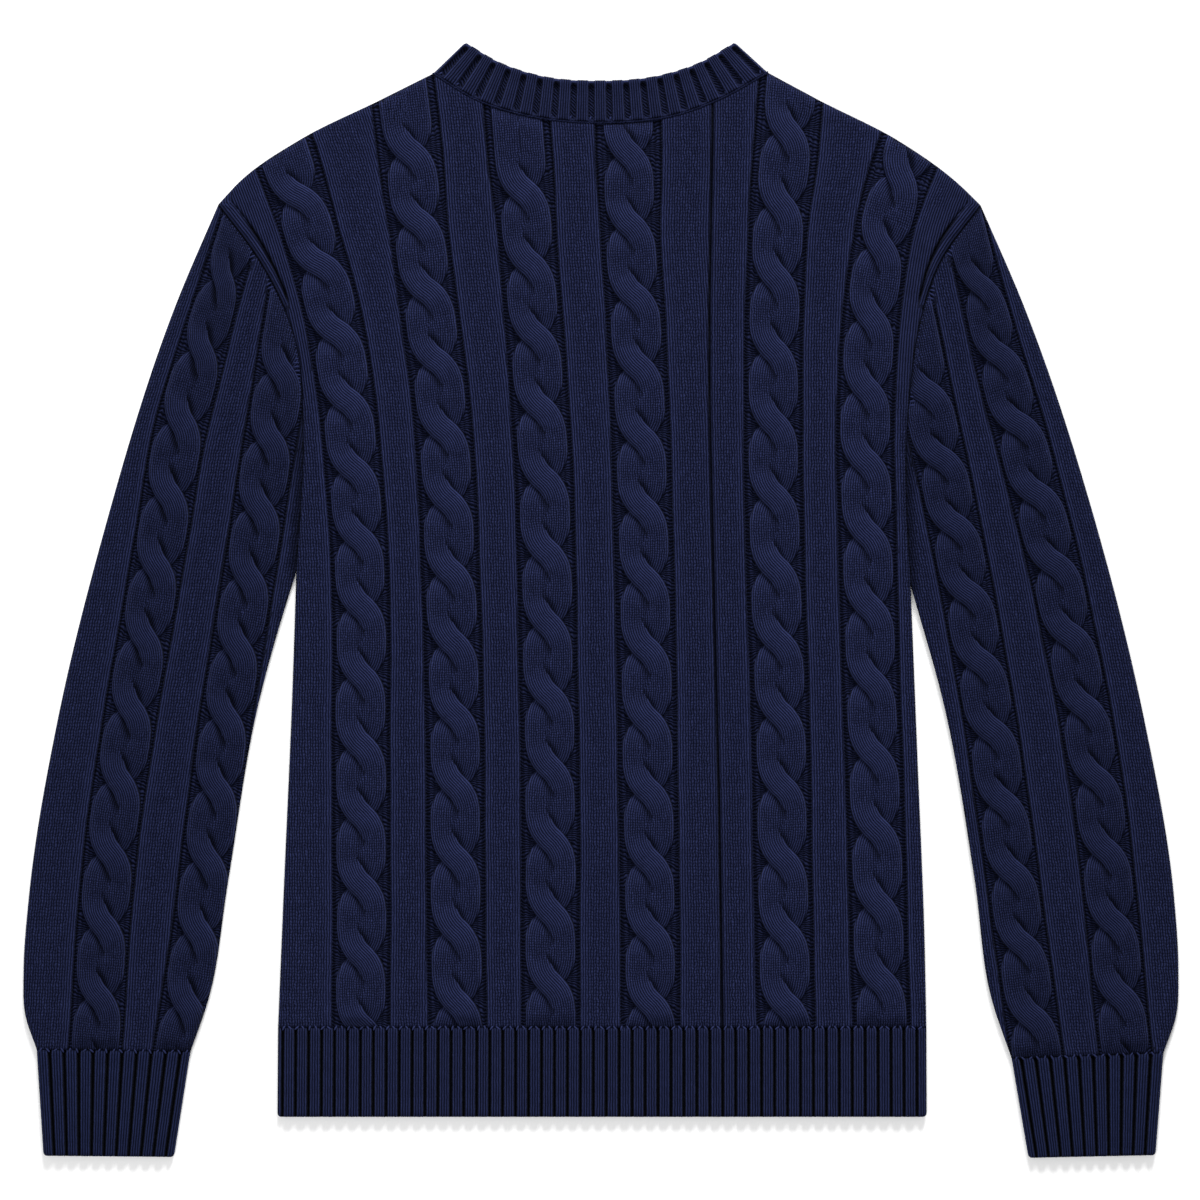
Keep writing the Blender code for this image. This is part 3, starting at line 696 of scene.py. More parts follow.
@dataclass(frozen=True)
class KnitFinish:
    """Matte cotton yarn, with its stitches in relief, and painted light and shade in its colour."""

    name: str
    colour: tuple[float, float, float] = (0.0090, 0.0116, 0.0350)
    painted_top_light: float = 1.9  # painted light on the stitches' tops, as a share of the colour and painted shade in the gaps between them
    painted_gap_shade: float = 0.1  # and of the gaps between them
    relief: float = 0.0010  # height of a stitch, in metres
    stitch_break: float = 0.6  # depth of the gap between a stitch and the next one up
    drift: float = 0.6  # how far the stitches wander
    patchiness: float = 0.45  # how much they differ in strength
    mottle: float = 0.5  # the tone differs over a few millimetres
    mottle_scale: float = 140.0
    fibre: float = 0.25  # relief of the fibres, as a share of a stitch's
    fibre_scale: float = 1500.0
    shade_depth: float = 0.95  # share of its tone that a place in full painted shade loses
    roughness: float = 0.9
    specular: float = 0.02
    sheen: float = 0.015
    sheen_roughness: float = 0.45
    sheen_tint: tuple[float, float, float, float] = (0.55, 0.62, 1.0, 1.0)
    crease_angle: float = 50.0  # faces that meet more sharply show an edge

    def material(self) -> bpy.types.Material:
        """Make the material once.

        Returns:
            The yarn's material, whose pattern follows the piece's own stitch coordinates.
        """
        made = bpy.data.materials.get(self.name)
        if made is None:
            made = bpy.data.materials.new(self.name)
            made.use_nodes = True
            self._dress(made.node_tree)
        return made

    def _dress(self, tree: bpy.types.NodeTree) -> None:
        """Lay out the yarn's nodes.

        Args:
            tree: The material's nodes.
        """
        shader = tree.nodes["Principled BSDF"]
        pattern = StitchPattern(tree, self)
        height, shade = pattern.height()
        mottle = pattern.noise(self.mottle_scale, 3.0)
        fibre = pattern.noise(self.fibre_scale, 2.0)
        # The stitch relief is painted into the colour: painted light on the stitches' tops, painted shade
        # in the gaps.
        tone = pattern.maths("MULTIPLY_ADD", height, self.painted_top_light - self.painted_gap_shade, self.painted_gap_shade)
        uneven = pattern.maths("MULTIPLY_ADD", mottle.outputs["Fac"], self.mottle, 1.0 - self.mottle / 2.0)
        # Painted shade from the shade trait, and a painted highlight where the trait is below 0.
        painted_dimming = pattern.maths("MULTIPLY_ADD", shade, -self.shade_depth, 1.0)
        tone = pattern.maths("MULTIPLY", pattern.maths("MULTIPLY", tone, uneven), painted_dimming)
        colour = tree.nodes.new("ShaderNodeVectorMath")
        colour.operation = "SCALE"
        colour.inputs[0].default_value = self.colour
        tree.links.new(tone, colour.inputs["Scale"])
        tree.links.new(colour.outputs[0], shader.inputs["Base Color"])
        relief = pattern.maths("MULTIPLY_ADD", fibre.outputs["Fac"], self.fibre, height)
        bump = tree.nodes.new("ShaderNodeBump")
        bump.inputs["Strength"].default_value = 1.0
        bump.inputs["Distance"].default_value = self.relief
        tree.links.new(relief, bump.inputs["Height"])
        tree.links.new(bump.outputs[0], shader.inputs["Normal"])
        shader.inputs["Roughness"].default_value = self.roughness
        shader.inputs["Specular IOR Level"].default_value = self.specular
        shader.inputs["Sheen Weight"].default_value = self.sheen
        shader.inputs["Sheen Roughness"].default_value = self.sheen_roughness
        shader.inputs["Sheen Tint"].default_value = self.sheen_tint


@dataclass(frozen=True)
class StrandPath:
    """One turn of a strand as a row of sections, each with its values."""

    number: int
    turn: Array  # crossings passed since the one that it comes out from
    near: Array  # the same, to the nearest crossing
    near_end: Array  # and to the nearer end of the turn
    share: Array  # of the way from a crossing to the outside of the bow
    straight: Array  # whether the strand runs straight there, above the first crossing
    side: Array  # -1 left of the cable's middle and 1 right of it
    girth: Array  # the cable's width there, as a share
    offset: Array  # distance from the cable's middle to the strand's
    middle: Array  # places of its middle, n by 2
    ahead: Array  # directions along it, n by 2


@dataclass
class RopeCable:
    """Two strands twisted round each other, each turn of a strand a body of its own.

    Something changes between the two places of a pair. They are shares of a turn, counted from a
    crossing or from the turn's end, or shares of the strand's half width.
    """

    track: CableTrack
    seed: float
    swing: float = 8.2  # from the cable's middle to a strand's
    bow: float = 3.2  # how soon a strand reaches it after a crossing
    hidden: float = 0.06  # a strand runs on this far under its crossings
    channel: float = 2.5  # purl beside the cable
    flare: float = 0.0  # more of it below the neck
    flaring: Pair = (235.0, 300.0)  # heights on the garment
    narrow: float = 0.0  # share of the width lost at the top of a sleeve
    narrowing: Pair = (110.0, 235.0)  # heights on the garment
    waver: float = 0.35
    rows: int = 45
    columns: int = 15
    least: int = 4  # a turn with fewer points inside the panel is left out
    apart: float = 37.0  # two turns are this far apart on the slow waves

    # Widths
    strand_half: float = 8.7
    inner_reach: float = 2.8  # a strand reaches this far under the one over it
    recede: float = 0.34  # share by which the upper strand draws back between crossings
    width_play: float = 0.03
    end_width: float = 0.5
    widening: Pair = (-0.08, 0.38)
    covered: Pair = (0.5, 0.56)
    drawn_back: Pair = (0.22, 0.5)
    inner_width: float = 0.8
    inner_widening: Pair = (-0.06, 0.1)
    reaching: Pair = (0.1, 0.3)

    # Heights
    crown: float = 6.0
    crown_play: float = 0.25
    lift: float = 1.4  # the upper strand rises by this at a crossing
    lifted: Pair = (0.1, 0.42)
    dive: float = 2.8  # a strand's end sinks by this
    diving: Pair = (-0.02, 0.3)
    valley: float = 0.12  # dip where two strands lie against each other
    fullness: float = 3.0  # exponent of the rounded section
    foot: float = 0.4
    brim: float = 0.999  # outside this share a strand is down on its foot
    crisp_edge: Pair = (0.27, 0.46)
    seam_height: float = 0.45  # share of its height that a strand keeps at a seam
    seam_reach: float = 9.0

    # Stitches
    wales: float = 5.6
    course: float = 1.7
    course_shift: float = 0.37  # of a turn against the one above it
    drawn_out: float = 0.85  # stitches pulled long at a crossing
    drawn_share: Pair = (0.3, 0.85)
    rim_drawn_out: float = 0.8  # and along the outer rim
    rim: Pair = (0.62, 0.85)

    # Painted light and shade
    tone: float = 0.0  # the whole cable is painted lighter by this
    shadow: float = 0.85  # of the strand above on the one below
    shadow_reach: float = 4.5
    shadow_ends: Pair = (0.28, 0.5)
    highlight: float = 0.25  # painted highlight on the stitches along the rim
    highlight_rise: Pair = (0.7, 0.82)
    highlight_fall: Pair = (0.9, 0.96)
    wall_shade: float = 0.85  # of the strand's steep side
    wall_start: Pair = (0.94, 0.99)

    def centre(self, y: Array) -> Array:
        """Place of the cable's middle.

        Args:
            y: Heights on the garment.

        Returns:
            x at each height.
        """
        heights = np.array(self.track.heights[::-1], float)
        centres = np.array(self.track.centres[::-1], float)
        slopes = np.gradient(centres, heights)
        y = np.asarray(y, float)
        span = np.clip(np.searchsorted(heights, y) - 1, 0, len(heights) - 2)
        width = heights[span + 1] - heights[span]
        t = np.clip((y - heights[span]) / width, 0.0, 1.0)
        x = hermite(t, centres[span], centres[span + 1], slopes[span] * width, slopes[span + 1] * width)
        beyond = np.where(y < heights[0], slopes[0] * (y - heights[0]),
                          np.where(y > heights[-1], slopes[-1] * (y - heights[-1]), 0.0))
        return x + beyond + self.waver * unevenness(y, self.seed)

    def lean(self, y: Array) -> Array:
        """Length of the track for each millimetre of height."""
        return np.sqrt(1.0 + slope_of(self.centre, np.asarray(y, float)) ** 2)

    def girth(self, y: Array) -> Array:
        """Width of the cable at the heights y, as a share of its full width."""
        return 1.0 - self.narrow * ease(y, *self.narrowing)

    def room(self, y: Array) -> Array:
        """Width of the purl channel on each side at the heights y, which opens below the neck."""
        return self.channel + self.flare * ease(y, *self.flaring)

    def edge(self, side: int, beyond: float = 0.0) -> Line:
        """Edge of the plain knit beside the cable.

        Args:
            side: -1 for the left edge and 1 for the right one.
            beyond: How far outside it the line runs.

        Returns:
            A function from heights to places.
        """
        def place(y: Array) -> Array:
            """Place of the edge at the heights y."""
            half = self.track.half_width * self.girth(y)
            return self.centre(y) + side * (half + self.room(y) + beyond) * self.lean(y)

        return place

    def beside(self, x: Array, y: Array) -> Array:
        """Distance of places outside the plain knit's edges, negative in the cable's channel."""
        half = self.track.half_width * self.girth(y)
        return np.abs(x - self.centre(y)) / self.lean(y) - half - self.room(y)

    def crossings(self) -> Array:
        """Count down the crossings.

        Returns:
            Their heights, from above the garment to below it.
        """
        track = self.track
        k = np.arange(-FIRST_TURN, LAST_TURN)
        return track.first_crossing - track.pitch * k - track.growth * k * np.maximum(k, 0)

    def path(self, number: int) -> StrandPath:
        """Lead one turn of a strand: out from under a crossing, over the next and under the third.

        Args:
            number: The crossing that it comes out from.

        Returns:
            The turn's sections.
        """
        heights = self.crossings()
        start = {FIRST_TURN - 2: 0.0, FIRST_TURN - 1: -1.0}.get(number, -self.hidden)
        turn = np.linspace(start, 2.0 + self.hidden, self.rows)
        y = np.interp(number + turn, np.arange(len(heights)), heights)
        near = np.abs(((turn + 0.5) % 1.0) - 0.5)
        straight = number + np.round(turn) < FIRST_TURN
        share = np.where(straight, 1.0, 2.0 * near)
        leftward = turn < 1.0 if number != FIRST_TURN - 2 else turn < 0.0
        side = np.where(leftward & (straight | (turn > 0.0)), -1.0, 1.0)
        girth = self.girth(y)
        offset = side * self.swing * girth * (1.0 - (1.0 - share) ** self.bow)
        slope = slope_of(self.centre, y)
        size = np.sqrt(1.0 + slope**2)
        middle = np.column_stack((self.centre(y) + offset / size, y - offset * slope / size))
        ahead = np.gradient(middle, axis=0)
        ahead /= np.linalg.norm(ahead, axis=1)[:, None]
        near_end = np.where(straight & (turn < 1.0), 1.0, np.minimum(np.abs(turn), 2.0 - turn))
        return StrandPath(number, turn, near, near_end, share, straight, side, girth, offset, middle,
                          ahead)

    def sections(self, path: StrandPath) -> Arrays:
        """Work out how wide and how high the strand is.

        Args:
            path: The turn's sections.

        Returns:
            Its usual half width, the outer and the inner one, the inner one where it lies on top, how
            far its inner side is under the other strand, and its height.
        """
        play = one_of_many(path.number, self.apart, self.seed)
        full = path.girth * self.strand_half * (1.0 + self.width_play * play)
        outer = full * (self.end_width + (1.0 - self.end_width) * ease(path.near_end, *self.widening))
        first, last = self.covered
        under = np.where(path.turn < 1.0, 1.0 - ease(path.turn, first, last),
                         ease(path.turn, 2.0 - last, 2.0 - first))
        under = np.where(path.straight & (path.number == FIRST_TURN - 2), 1.0, under)
        above = full * (1.0 - self.recede * ease(path.near, *self.drawn_back))
        narrowed = self.inner_width + (1.0 - self.inner_width) * ease(path.near_end, *self.inner_widening)
        below = full * narrowed + path.girth * self.inner_reach * ease(path.near_end, *self.reaching)
        raised = -np.sign(np.cos(math.pi * path.turn)) * (1.0 - ease(path.near, *self.lifted))
        crown = (self.crown + self.crown_play * play + self.lift * np.where(path.straight, 0.0, raised)
                 - self.dive * (1.0 - ease(path.near_end, *self.diving)))
        return full, outer, above * (1.0 - under) + below * under, above, under, crown

    def shades(self, path: StrandPath, across: Array, gap: Array, merged: Array) -> Array:
        """Paint shadow on a strand under its neighbour and shade down its sides, and paint highlights on
        its rims.

        Args:
            path: The turn's sections.
            across: Shares of the half width, one for each column.
            gap: Distance from the neighbour's edge, rows by columns.
            merged: Where the strand has no edge of its own, rows by columns.

        Returns:
            The shades, rows by columns.
        """
        ends = self.shadow * (1.0 - ease(path.near_end, *self.shadow_ends))
        shade = ends[:, None] * (1.0 - ease(gap, -1.0, self.shadow_reach))
        out = np.abs(across)
        lit = ease(out, *self.highlight_rise) * (1.0 - ease(out, *self.highlight_fall))
        shade = shade - self.tone - self.highlight * lit[None, :] * (1.0 - merged)
        wall = ease(out, *self.wall_start)[None, :] * (1.0 - merged)
        return darker_painted_shade(shade, self.wall_shade * wall)

    def strand(self, number: int) -> Arrays:
        """Model one turn of a strand.

        Args:
            number: The crossing that it comes out from.

        Returns:
            Places, rows by columns by 3, stitches, by 2, and traits, by 3.
        """
        path = self.path(number)
        full, outer, inner, above, under, crown = self.sections(path)
        across = np.sin(math.pi / 2.0 * np.linspace(-1.0, 1.0, self.columns))
        crisp = (1.0 - np.abs(across) ** self.fullness) ** (1.0 / self.fullness)
        soft = np.where(np.abs(across) < self.brim, 1.0 - self.valley * across**2, 0.0)
        inward = across[None, :] * path.side[:, None] < 0.0
        step = np.where(under > 0.0, 0.0, 1.0 - ease(path.near, *self.crisp_edge))
        merged = (1.0 - step)[:, None] * inward
        dome = crisp[None, :] * (1.0 - merged) + soft[None, :] * merged
        reach = np.where(inward, inner[:, None], outer[:, None]) * across[None, :]
        normal = np.column_stack((-path.ahead[:, 1], path.ahead[:, 0]))
        places = np.empty((self.rows, self.columns, 3))
        places[:, :, :2] = path.middle[:, None, :] + normal[:, None, :] * reach[:, :, None]
        places[:, :, 2] = UPPER_BASE + self.foot + (crown[:, None] - self.foot) * dome
        lengths = np.concatenate(([0.0], np.cumsum(np.linalg.norm(np.diff(path.middle, axis=0), axis=1))))
        stitches = np.empty((self.rows, self.columns, 2))
        stitches[:, :, 0] = (1.0 + reach / full[:, None]) / 2.0 * self.wales
        stitches[:, :, 1] = -lengths[:, None] / self.course + self.course_shift * number
        rim = ease(np.abs(across), *self.rim)[None, :] * ~inward
        drawn = self.drawn_out * (1.0 - ease(path.share, *self.drawn_share))
        pull = np.maximum(drawn[:, None], self.rim_drawn_out * rim)
        secant = 1.0 / np.abs(path.ahead[:, 1])
        gap = ((2.0 * np.abs(path.offset) - above * secant)[:, None]
               + path.side[:, None] * reach * secant[:, None])
        shade = self.shades(path, across, gap, merged)
        return places, stitches, np.stack((shade, np.zeros(pull.shape), pull), axis=-1)

    def lay(self, cloth: ClothMesh, outline: Outline) -> None:
        """Add the cable's strands to the cloth, trimmed to a panel's outline.

        Args:
            cloth: Mesh that receives them.
            outline: The panel's outline.
        """
        for number in range(FIRST_TURN - 2, len(self.crossings()) - 2):
            places, stitches, traits = self.strand(number)
            flat = places[:, :, :2].reshape(-1, 2)
            inside, fold, seam, foot = outline.measure(flat)
            kept = inside | (np.minimum(fold, seam) < CLOSE)
            if kept.sum() < self.least:
                continue
            flat = np.where(kept[:, None], flat, foot)
            seam = np.where(kept, seam, 0.0)
            calm = self.seam_height + (1.0 - self.seam_height) * ease(seam, 0.0, self.seam_reach)
            heights = outline.shape(flat, UPPER_BASE + (places[:, :, 2].ravel() - UPPER_BASE) * calm)
            # Painted shade where the strand is drawn down into a seam.
            beside = SEAM_SHADE * (1.0 - ease(seam, *SEAM_FADE))
            traits[:, :, 0] = darker_painted_shade(traits[:, :, 0], beside.reshape(traits.shape[:2]))
            grid = np.column_stack((flat, heights)).reshape(places.shape)
            self._close(cloth, grid, stitches, traits, kept.reshape(self.rows, self.columns))

    def _close(self, cloth: ClothMesh, grid: Array, stitches: Array, traits: Array, kept: Array) -> None:
        """Add one trimmed strand with its underside and ends.

        Args:
            cloth: Mesh that receives it.
            grid: rows by columns by 3, from the top down.
            stitches: rows by columns by 2.
            traits: rows by columns by 3.
            kept: Which points are inside the panel.
        """
        rows, columns = kept.shape
        numbers = cloth.add(grid.reshape(-1, 3), stitches.reshape(-1, 2),
                            traits.reshape(-1, len(TRAITS)))
        numbers = numbers.reshape(rows, columns).tolist()
        for i in range(rows - 1):
            if not kept[i:i + 2].any():
                continue
            here, below = numbers[i], numbers[i + 1]
            for j in range(columns - 1):
                if kept[i:i + 2, j:j + 2].any():
                    cloth.faces.append((here[j], below[j], below[j + 1], here[j + 1]))
            if kept[i:i + 2, [0, -1]].any():
                cloth.faces.append((here[0], here[-1], below[-1], below[0]))
        if kept[0].any():
            cloth.faces.append(tuple(numbers[0]))
        if kept[-1].any():
            cloth.faces.append(tuple(numbers[-1][::-1]))


@dataclass
class Panel:
    """Upper layer of a panel: plain strips, purl channels for the cables, and shaped edges."""

    outline: Outline
    left: Line
    right: Line
    bottom: Line
    top: Line
    ropes: tuple[RopeCable, ...]
    rows: int
    strip_columns: int = 3
    seed: float = 1.0

    # Shape and stitches. Something changes between the two distances of a pair from a strip's edge
    narrowest: float = 0.48  # share of the width that one edge may take
    wavy: float = 0.12
    wave_lean: float = 0.7
    purled: Pair = (-0.5, 0.3)
    drawn_out: float = 0.15  # stitches of the plain knit
    edge_drawn_out: float = 0.75  # and of a strip's edge
    edge_drawn: Pair = (3.0, 4.6)
    notch_pull: float = 1.2  # a notch draws the courses together
    notch_reach: float = 8.0

    # Painted light and shade
    channel_shade: float = 0.3
    channel_dark: Pair = (-1.2, 0.2)
    foot_shade: float = 0.8  # where a strip's edge meets the channel's floor
    foot_place: float = -0.9
    foot_dark: Pair = (0.2, 0.8)
    edge_light: float = 0.15  # painted highlight on a strip's edge
    edge_lit: Pair = (0.3, 0.9)
    edge_unlit: Pair = (1.9, 3.2)
    lit_below: float = 0.05  # only places with less shade than this
    seam_shade_above: float = -262.0  # painted shade along seams is full above this height on the garment
    seam_fade: float = 10.0
    faint_seam_shade: float = 0.3  # share of a seam's painted shade below that
    armhole_shade_below: float | None = None  # painted shade beside the armhole seam stands in for the cloth's dip under this height on the garment
    armhole_shade_fade: float = 60.0
    armhole_shade_until: Pair = (-250.0, -240.0)
    armhole_shade: float = 0.6
    armhole_shade_reach: Pair = (1.0, 8.0)

    def columns(self) -> list[Line]:
        """Lay out the columns of points.

        Returns:
            Functions from heights to places, from left to right.
        """
        last = len(EDGE_STEPS) - 1

        def room(y: Array) -> Array:
            """Share of their usual width that the steps along an edge have at the heights y."""
            reach = self.edge_step(last, y, 1)
            return np.minimum(1.0, self.narrowest * (self.right(y) - self.left(y)) / reach)

        def beside(step: int, side: int) -> Line:
            """One column beside the left edge, with side -1, or the right one, with side 1."""
            edge = self.left if side < 0 else self.right
            return lambda y: edge(y) - side * self.edge_step(step, y, side) * room(y)

        def bounded(line: Line) -> Line:
            """The same line, kept between the columns beside the edges."""
            return lambda y: np.clip(line(y), beside(last, -1)(y), beside(last, 1)(y))

        lines = [beside(step, -1) for step in range(last + 1)]
        before = lines[-1]
        for channel in self.channels():
            lines += self._between(before, bounded(channel[0]))
            lines += [bounded(line) for line in channel]
            before = lines[-1]
        lines += self._between(before, beside(last, 1))
        lines += [beside(step, 1) for step in range(last, -1, -1)]
        return lines

    def _between(self, first: Line, last: Line) -> list[Line]:
        """Spread columns evenly over a plain strip.

        Args:
            first: The strip's first column.
            last: The next one after the strip.

        Returns:
            The columns between them.
        """
        def column(share: float) -> Line:
            """One of them."""
            return lambda y: first(y) * (1.0 - share) + last(y) * share

        return [column((i + 1) / (self.strip_columns + 1)) for i in range(self.strip_columns)]

    def channels(self) -> list[list[Line]]:
        """Lay out the columns over each channel.

        Returns:
            For each, its columns from the strip on its left to the strip on its right.
        """
        found = []
        for rope in self.ropes:
            inner = [-rope.channel + step for step in UNDER_CABLE_STEPS]
            found.append([rope.edge(-1, step) for step in (*CHANNEL_STEPS, *inner)] + [rope.centre]
                         + [rope.edge(1, step) for step in (*inner[::-1], *CHANNEL_STEPS[::-1])])
        return found

    def edge_step(self, step: int, y: Array, side: int) -> Array:
        """Distance along x of a column from the panel's edge.

        Args:
            step: Which column, counted from the edge.
            y: Heights.
            side: -1 for the left edge and 1 for the right one.

        Returns:
            The distances.
        """
        line = self.left if side < 0 else self.right
        return EDGE_STEPS[step] * slant(line, y)

    def wall(self, x: Array, y: Array) -> Arrays:
        """Shape the upper layer away from its outline.

        Args:
            x: Places.
            y: Their heights on the garment.

        Returns:
            Thickness of the wall, its painted shade, and how purled and drawn out it is.
        """
        wall = np.full(x.shape, WALL) + self.wavy * unevenness(x + self.wave_lean * y, self.seed)
        shade = np.zeros(x.shape)
        purl = np.zeros(x.shape)
        pull = np.full(x.shape, self.drawn_out)
        for rope in self.ropes:
            beside = rope.beside(x, y)
            lip = quarter_round((beside + CHANNEL_FOOT) / CHANNEL_LIP)
            wall = CHANNEL_WALL + (wall - CHANNEL_WALL) * lip
            from_foot = np.abs(beside - self.foot_place)
            # Painted shade in the channel and at the foot of the strip's edge.
            shade = np.maximum(shade, self.channel_shade * (1.0 - ease(beside, *self.channel_dark)))
            shade = np.maximum(shade, self.foot_shade * (1.0 - ease(from_foot, *self.foot_dark)))
            purl = np.maximum(purl, 1.0 - ease(beside, *self.purled))
            pull = np.maximum(pull, self.edge_drawn_out * (1.0 - ease(beside, *self.edge_drawn)))
        return wall, shade, purl, pull

    def wales(self, x: Array, y: Array) -> Array:
        """Count columns of stitches across the panel.

        Args:
            x: Places, one row of columns after another.
            y: Their heights on the garment.

        Returns:
            The wale at each place, counted from the nearest channel or edge to its left.
        """
        origin = self.ropes[0].edge(-1)(y)
        for rope in self.ropes:
            edge = rope.edge(1)(y)
            origin = np.where(x > edge - CLOSE, edge, origin)
            inside = (x > rope.edge(-1)(y) + CLOSE) & (x < edge - CLOSE)
            origin = np.where(inside, rope.centre(y), origin)
        return (x - origin) / WALE

    def courses(self, x: Array, y: Array) -> Array:
        """Count rows of stitches, which are drawn together towards each notch of a cable.

        Args:
            x: Places.
            y: Their heights on the garment.

        Returns:
            The course at each place.
        """
        moved = np.zeros(x.shape)
        for rope in self.ropes:
            depth = np.clip(-rope.beside(x, y) / self.notch_reach, 0.0, 1.0)
            side = np.where(x < rope.centre(y), -1.0, 1.0)
            for crossing in rope.crossings():
                apart = y - crossing - side * NOTCH_RISE
                moved += self.notch_pull * depth * apart * np.exp(-((apart / self.notch_reach) ** 2))
        return (y + moved) / COURSE

    def places(self) -> Array:
        """Place every point of the upper layer.

        Returns:
            rows by columns by 2.
        """
        lines = self.columns()
        grid = np.empty((self.rows + 2 * len(ROW_STEPS), len(lines), 2))
        for number, line in enumerate(lines):
            low = high = np.array([0.0])
            for _ in range(MEETING_ROUNDS):
                low = self.bottom(line(low))
                high = self.top(line(high))
            low, high = float(low[0]), float(high[0])
            first = low + np.array(ROW_STEPS)
            last = high - np.array(ROW_STEPS[::-1])
            middle = np.linspace(first[-1], last[0], self.rows + 2)[1:-1]
            y = np.concatenate((first, middle, last))
            grid[:, number, 0] = line(y)
            grid[:, number, 1] = y
        grid[:, :, 0] = np.maximum.accumulate(grid[:, :, 0], axis=1)
        return grid

    def upper(self, cloth: ClothMesh) -> Array:
        """Add the upper layer's surface to the cloth.

        Args:
            cloth: Mesh that receives it.

        Returns:
            Numbers of its border, counter-clockwise.
        """
        grid = self.places()
        x, y = grid[:, :, 0], grid[:, :, 1]
        wall, shade, purl, pull = self.wall(x, y)
        flat = grid.reshape(-1, 2)
        heights = self.outline.shape(flat, UPPER_BASE + wall.ravel())
        seam = self.outline.measure(flat)[2].reshape(x.shape)
        # Painted shade along the seams, fainter low on the garment.
        high = ease(y, self.seam_shade_above - self.seam_fade, self.seam_shade_above)
        drawn = SEAM_SHADE * (self.faint_seam_shade + (1.0 - self.faint_seam_shade) * high)
        shade = np.maximum(shade, drawn * (1.0 - ease(seam, *SEAM_FADE)))
        # Painted highlight on each strip's edge.
        for rope in self.ropes:
            beside = rope.beside(x, y)
            edge_highlight = self.edge_light * ease(beside, *self.edge_lit) * (1.0 - ease(beside, *self.edge_unlit))
            shade = np.where(shade < self.lit_below, shade - edge_highlight, shade)
        # Painted shade beside the armhole seam stands in for the cloth's dip there.
        if self.armhole_shade_below is not None:
            low = 1.0 - ease(y, self.armhole_shade_below - self.armhole_shade_fade, self.armhole_shade_below)
            low = low * ease(y, *self.armhole_shade_until)
            shade = darker_painted_shade(shade, self.armhole_shade * low * (1.0 - ease(seam, *self.armhole_shade_reach)))
        places = np.column_stack((flat, heights)).reshape(*x.shape, 3)
        stitches = np.stack((self.wales(x, y), self.courses(x, y)), axis=-1)
        numbers = cloth.add_grid(places, stitches, np.stack((shade, purl, pull), axis=-1))
        border = np.concatenate((numbers[0, :-1], numbers[:-1, -1], numbers[-1, :0:-1], numbers[:0:-1, 0]))
        spots = np.vstack(cloth.places)[border]
        apart = np.linalg.norm(spots - np.roll(spots, 1, axis=0), axis=1) > 2.0 * MERGE
        return border[apart]


def build_cables(name: str, finish: KnitFinish, ropes: Sequence[RopeCable], outline: Outline) -> Piece:
    """Model the cables of one panel.

    Args:
        name: The piece's name.
        finish: Its yarn.
        ropes: The cables.
        outline: The panel's outline.

    Returns:
        The finished piece.
    """
    strands = ClothMesh()
    for rope in ropes:
        rope.lay(strands, outline)
    return strands.build(name, finish, fill_holes=True)


@dataclass
class BackPanel:
    """The back: six cables, plain strips, a purl line and ridged armholes."""

    finish: KnitFinish
    rows: int = 210
    seam_shade_above: float = 300.0
    cable_flare: float = 2.4
    # the back's cables are painted lighter by this
    cable_painted_light: float = 0.12
    cloth: Piece | None = None
    cables: Piece | None = None

    def build(self) -> None:
        """Model the panel and its cables."""
        outline = Outline(BACK_PARTS)
        ropes = tuple(RopeCable(track, 1.0 + number, flare=self.cable_flare, tone=self.cable_painted_light)
                      for number, track in enumerate(BACK_TRACKS))
        panel = ShapedBack(
            outline=outline,
            left=line_of(("left_side", "left_armhole"), SEAM_GAP),
            right=line_of(("right_side", "right_armhole"), -SEAM_GAP),
            bottom=height_of(("hem",), SEAM_GAP),
            top=height_of(("left_shoulder", "back_neck", "right_shoulder"), -SEAM_GAP),
            ropes=ropes,
            rows=self.rows,
            seam_shade_above=self.seam_shade_above,
        )
        cloth = ClothMesh()
        border = panel.upper(cloth)
        spots = np.vstack(cloth.places)[border]
        spots[:, 2] = UPPER_BASE
        base = cloth.add(spots)
        cloth.add_strip(border, base)
        cloth.faces.append(tuple(base[::-1].tolist()))
        self.cloth = cloth.build("back", self.finish)
        self.cables = build_cables("back_cables", self.finish, ropes, outline)
        width, length = outline.span()
        for piece in (self.cloth, self.cables):
            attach(piece, "root")
            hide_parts("back_panel")


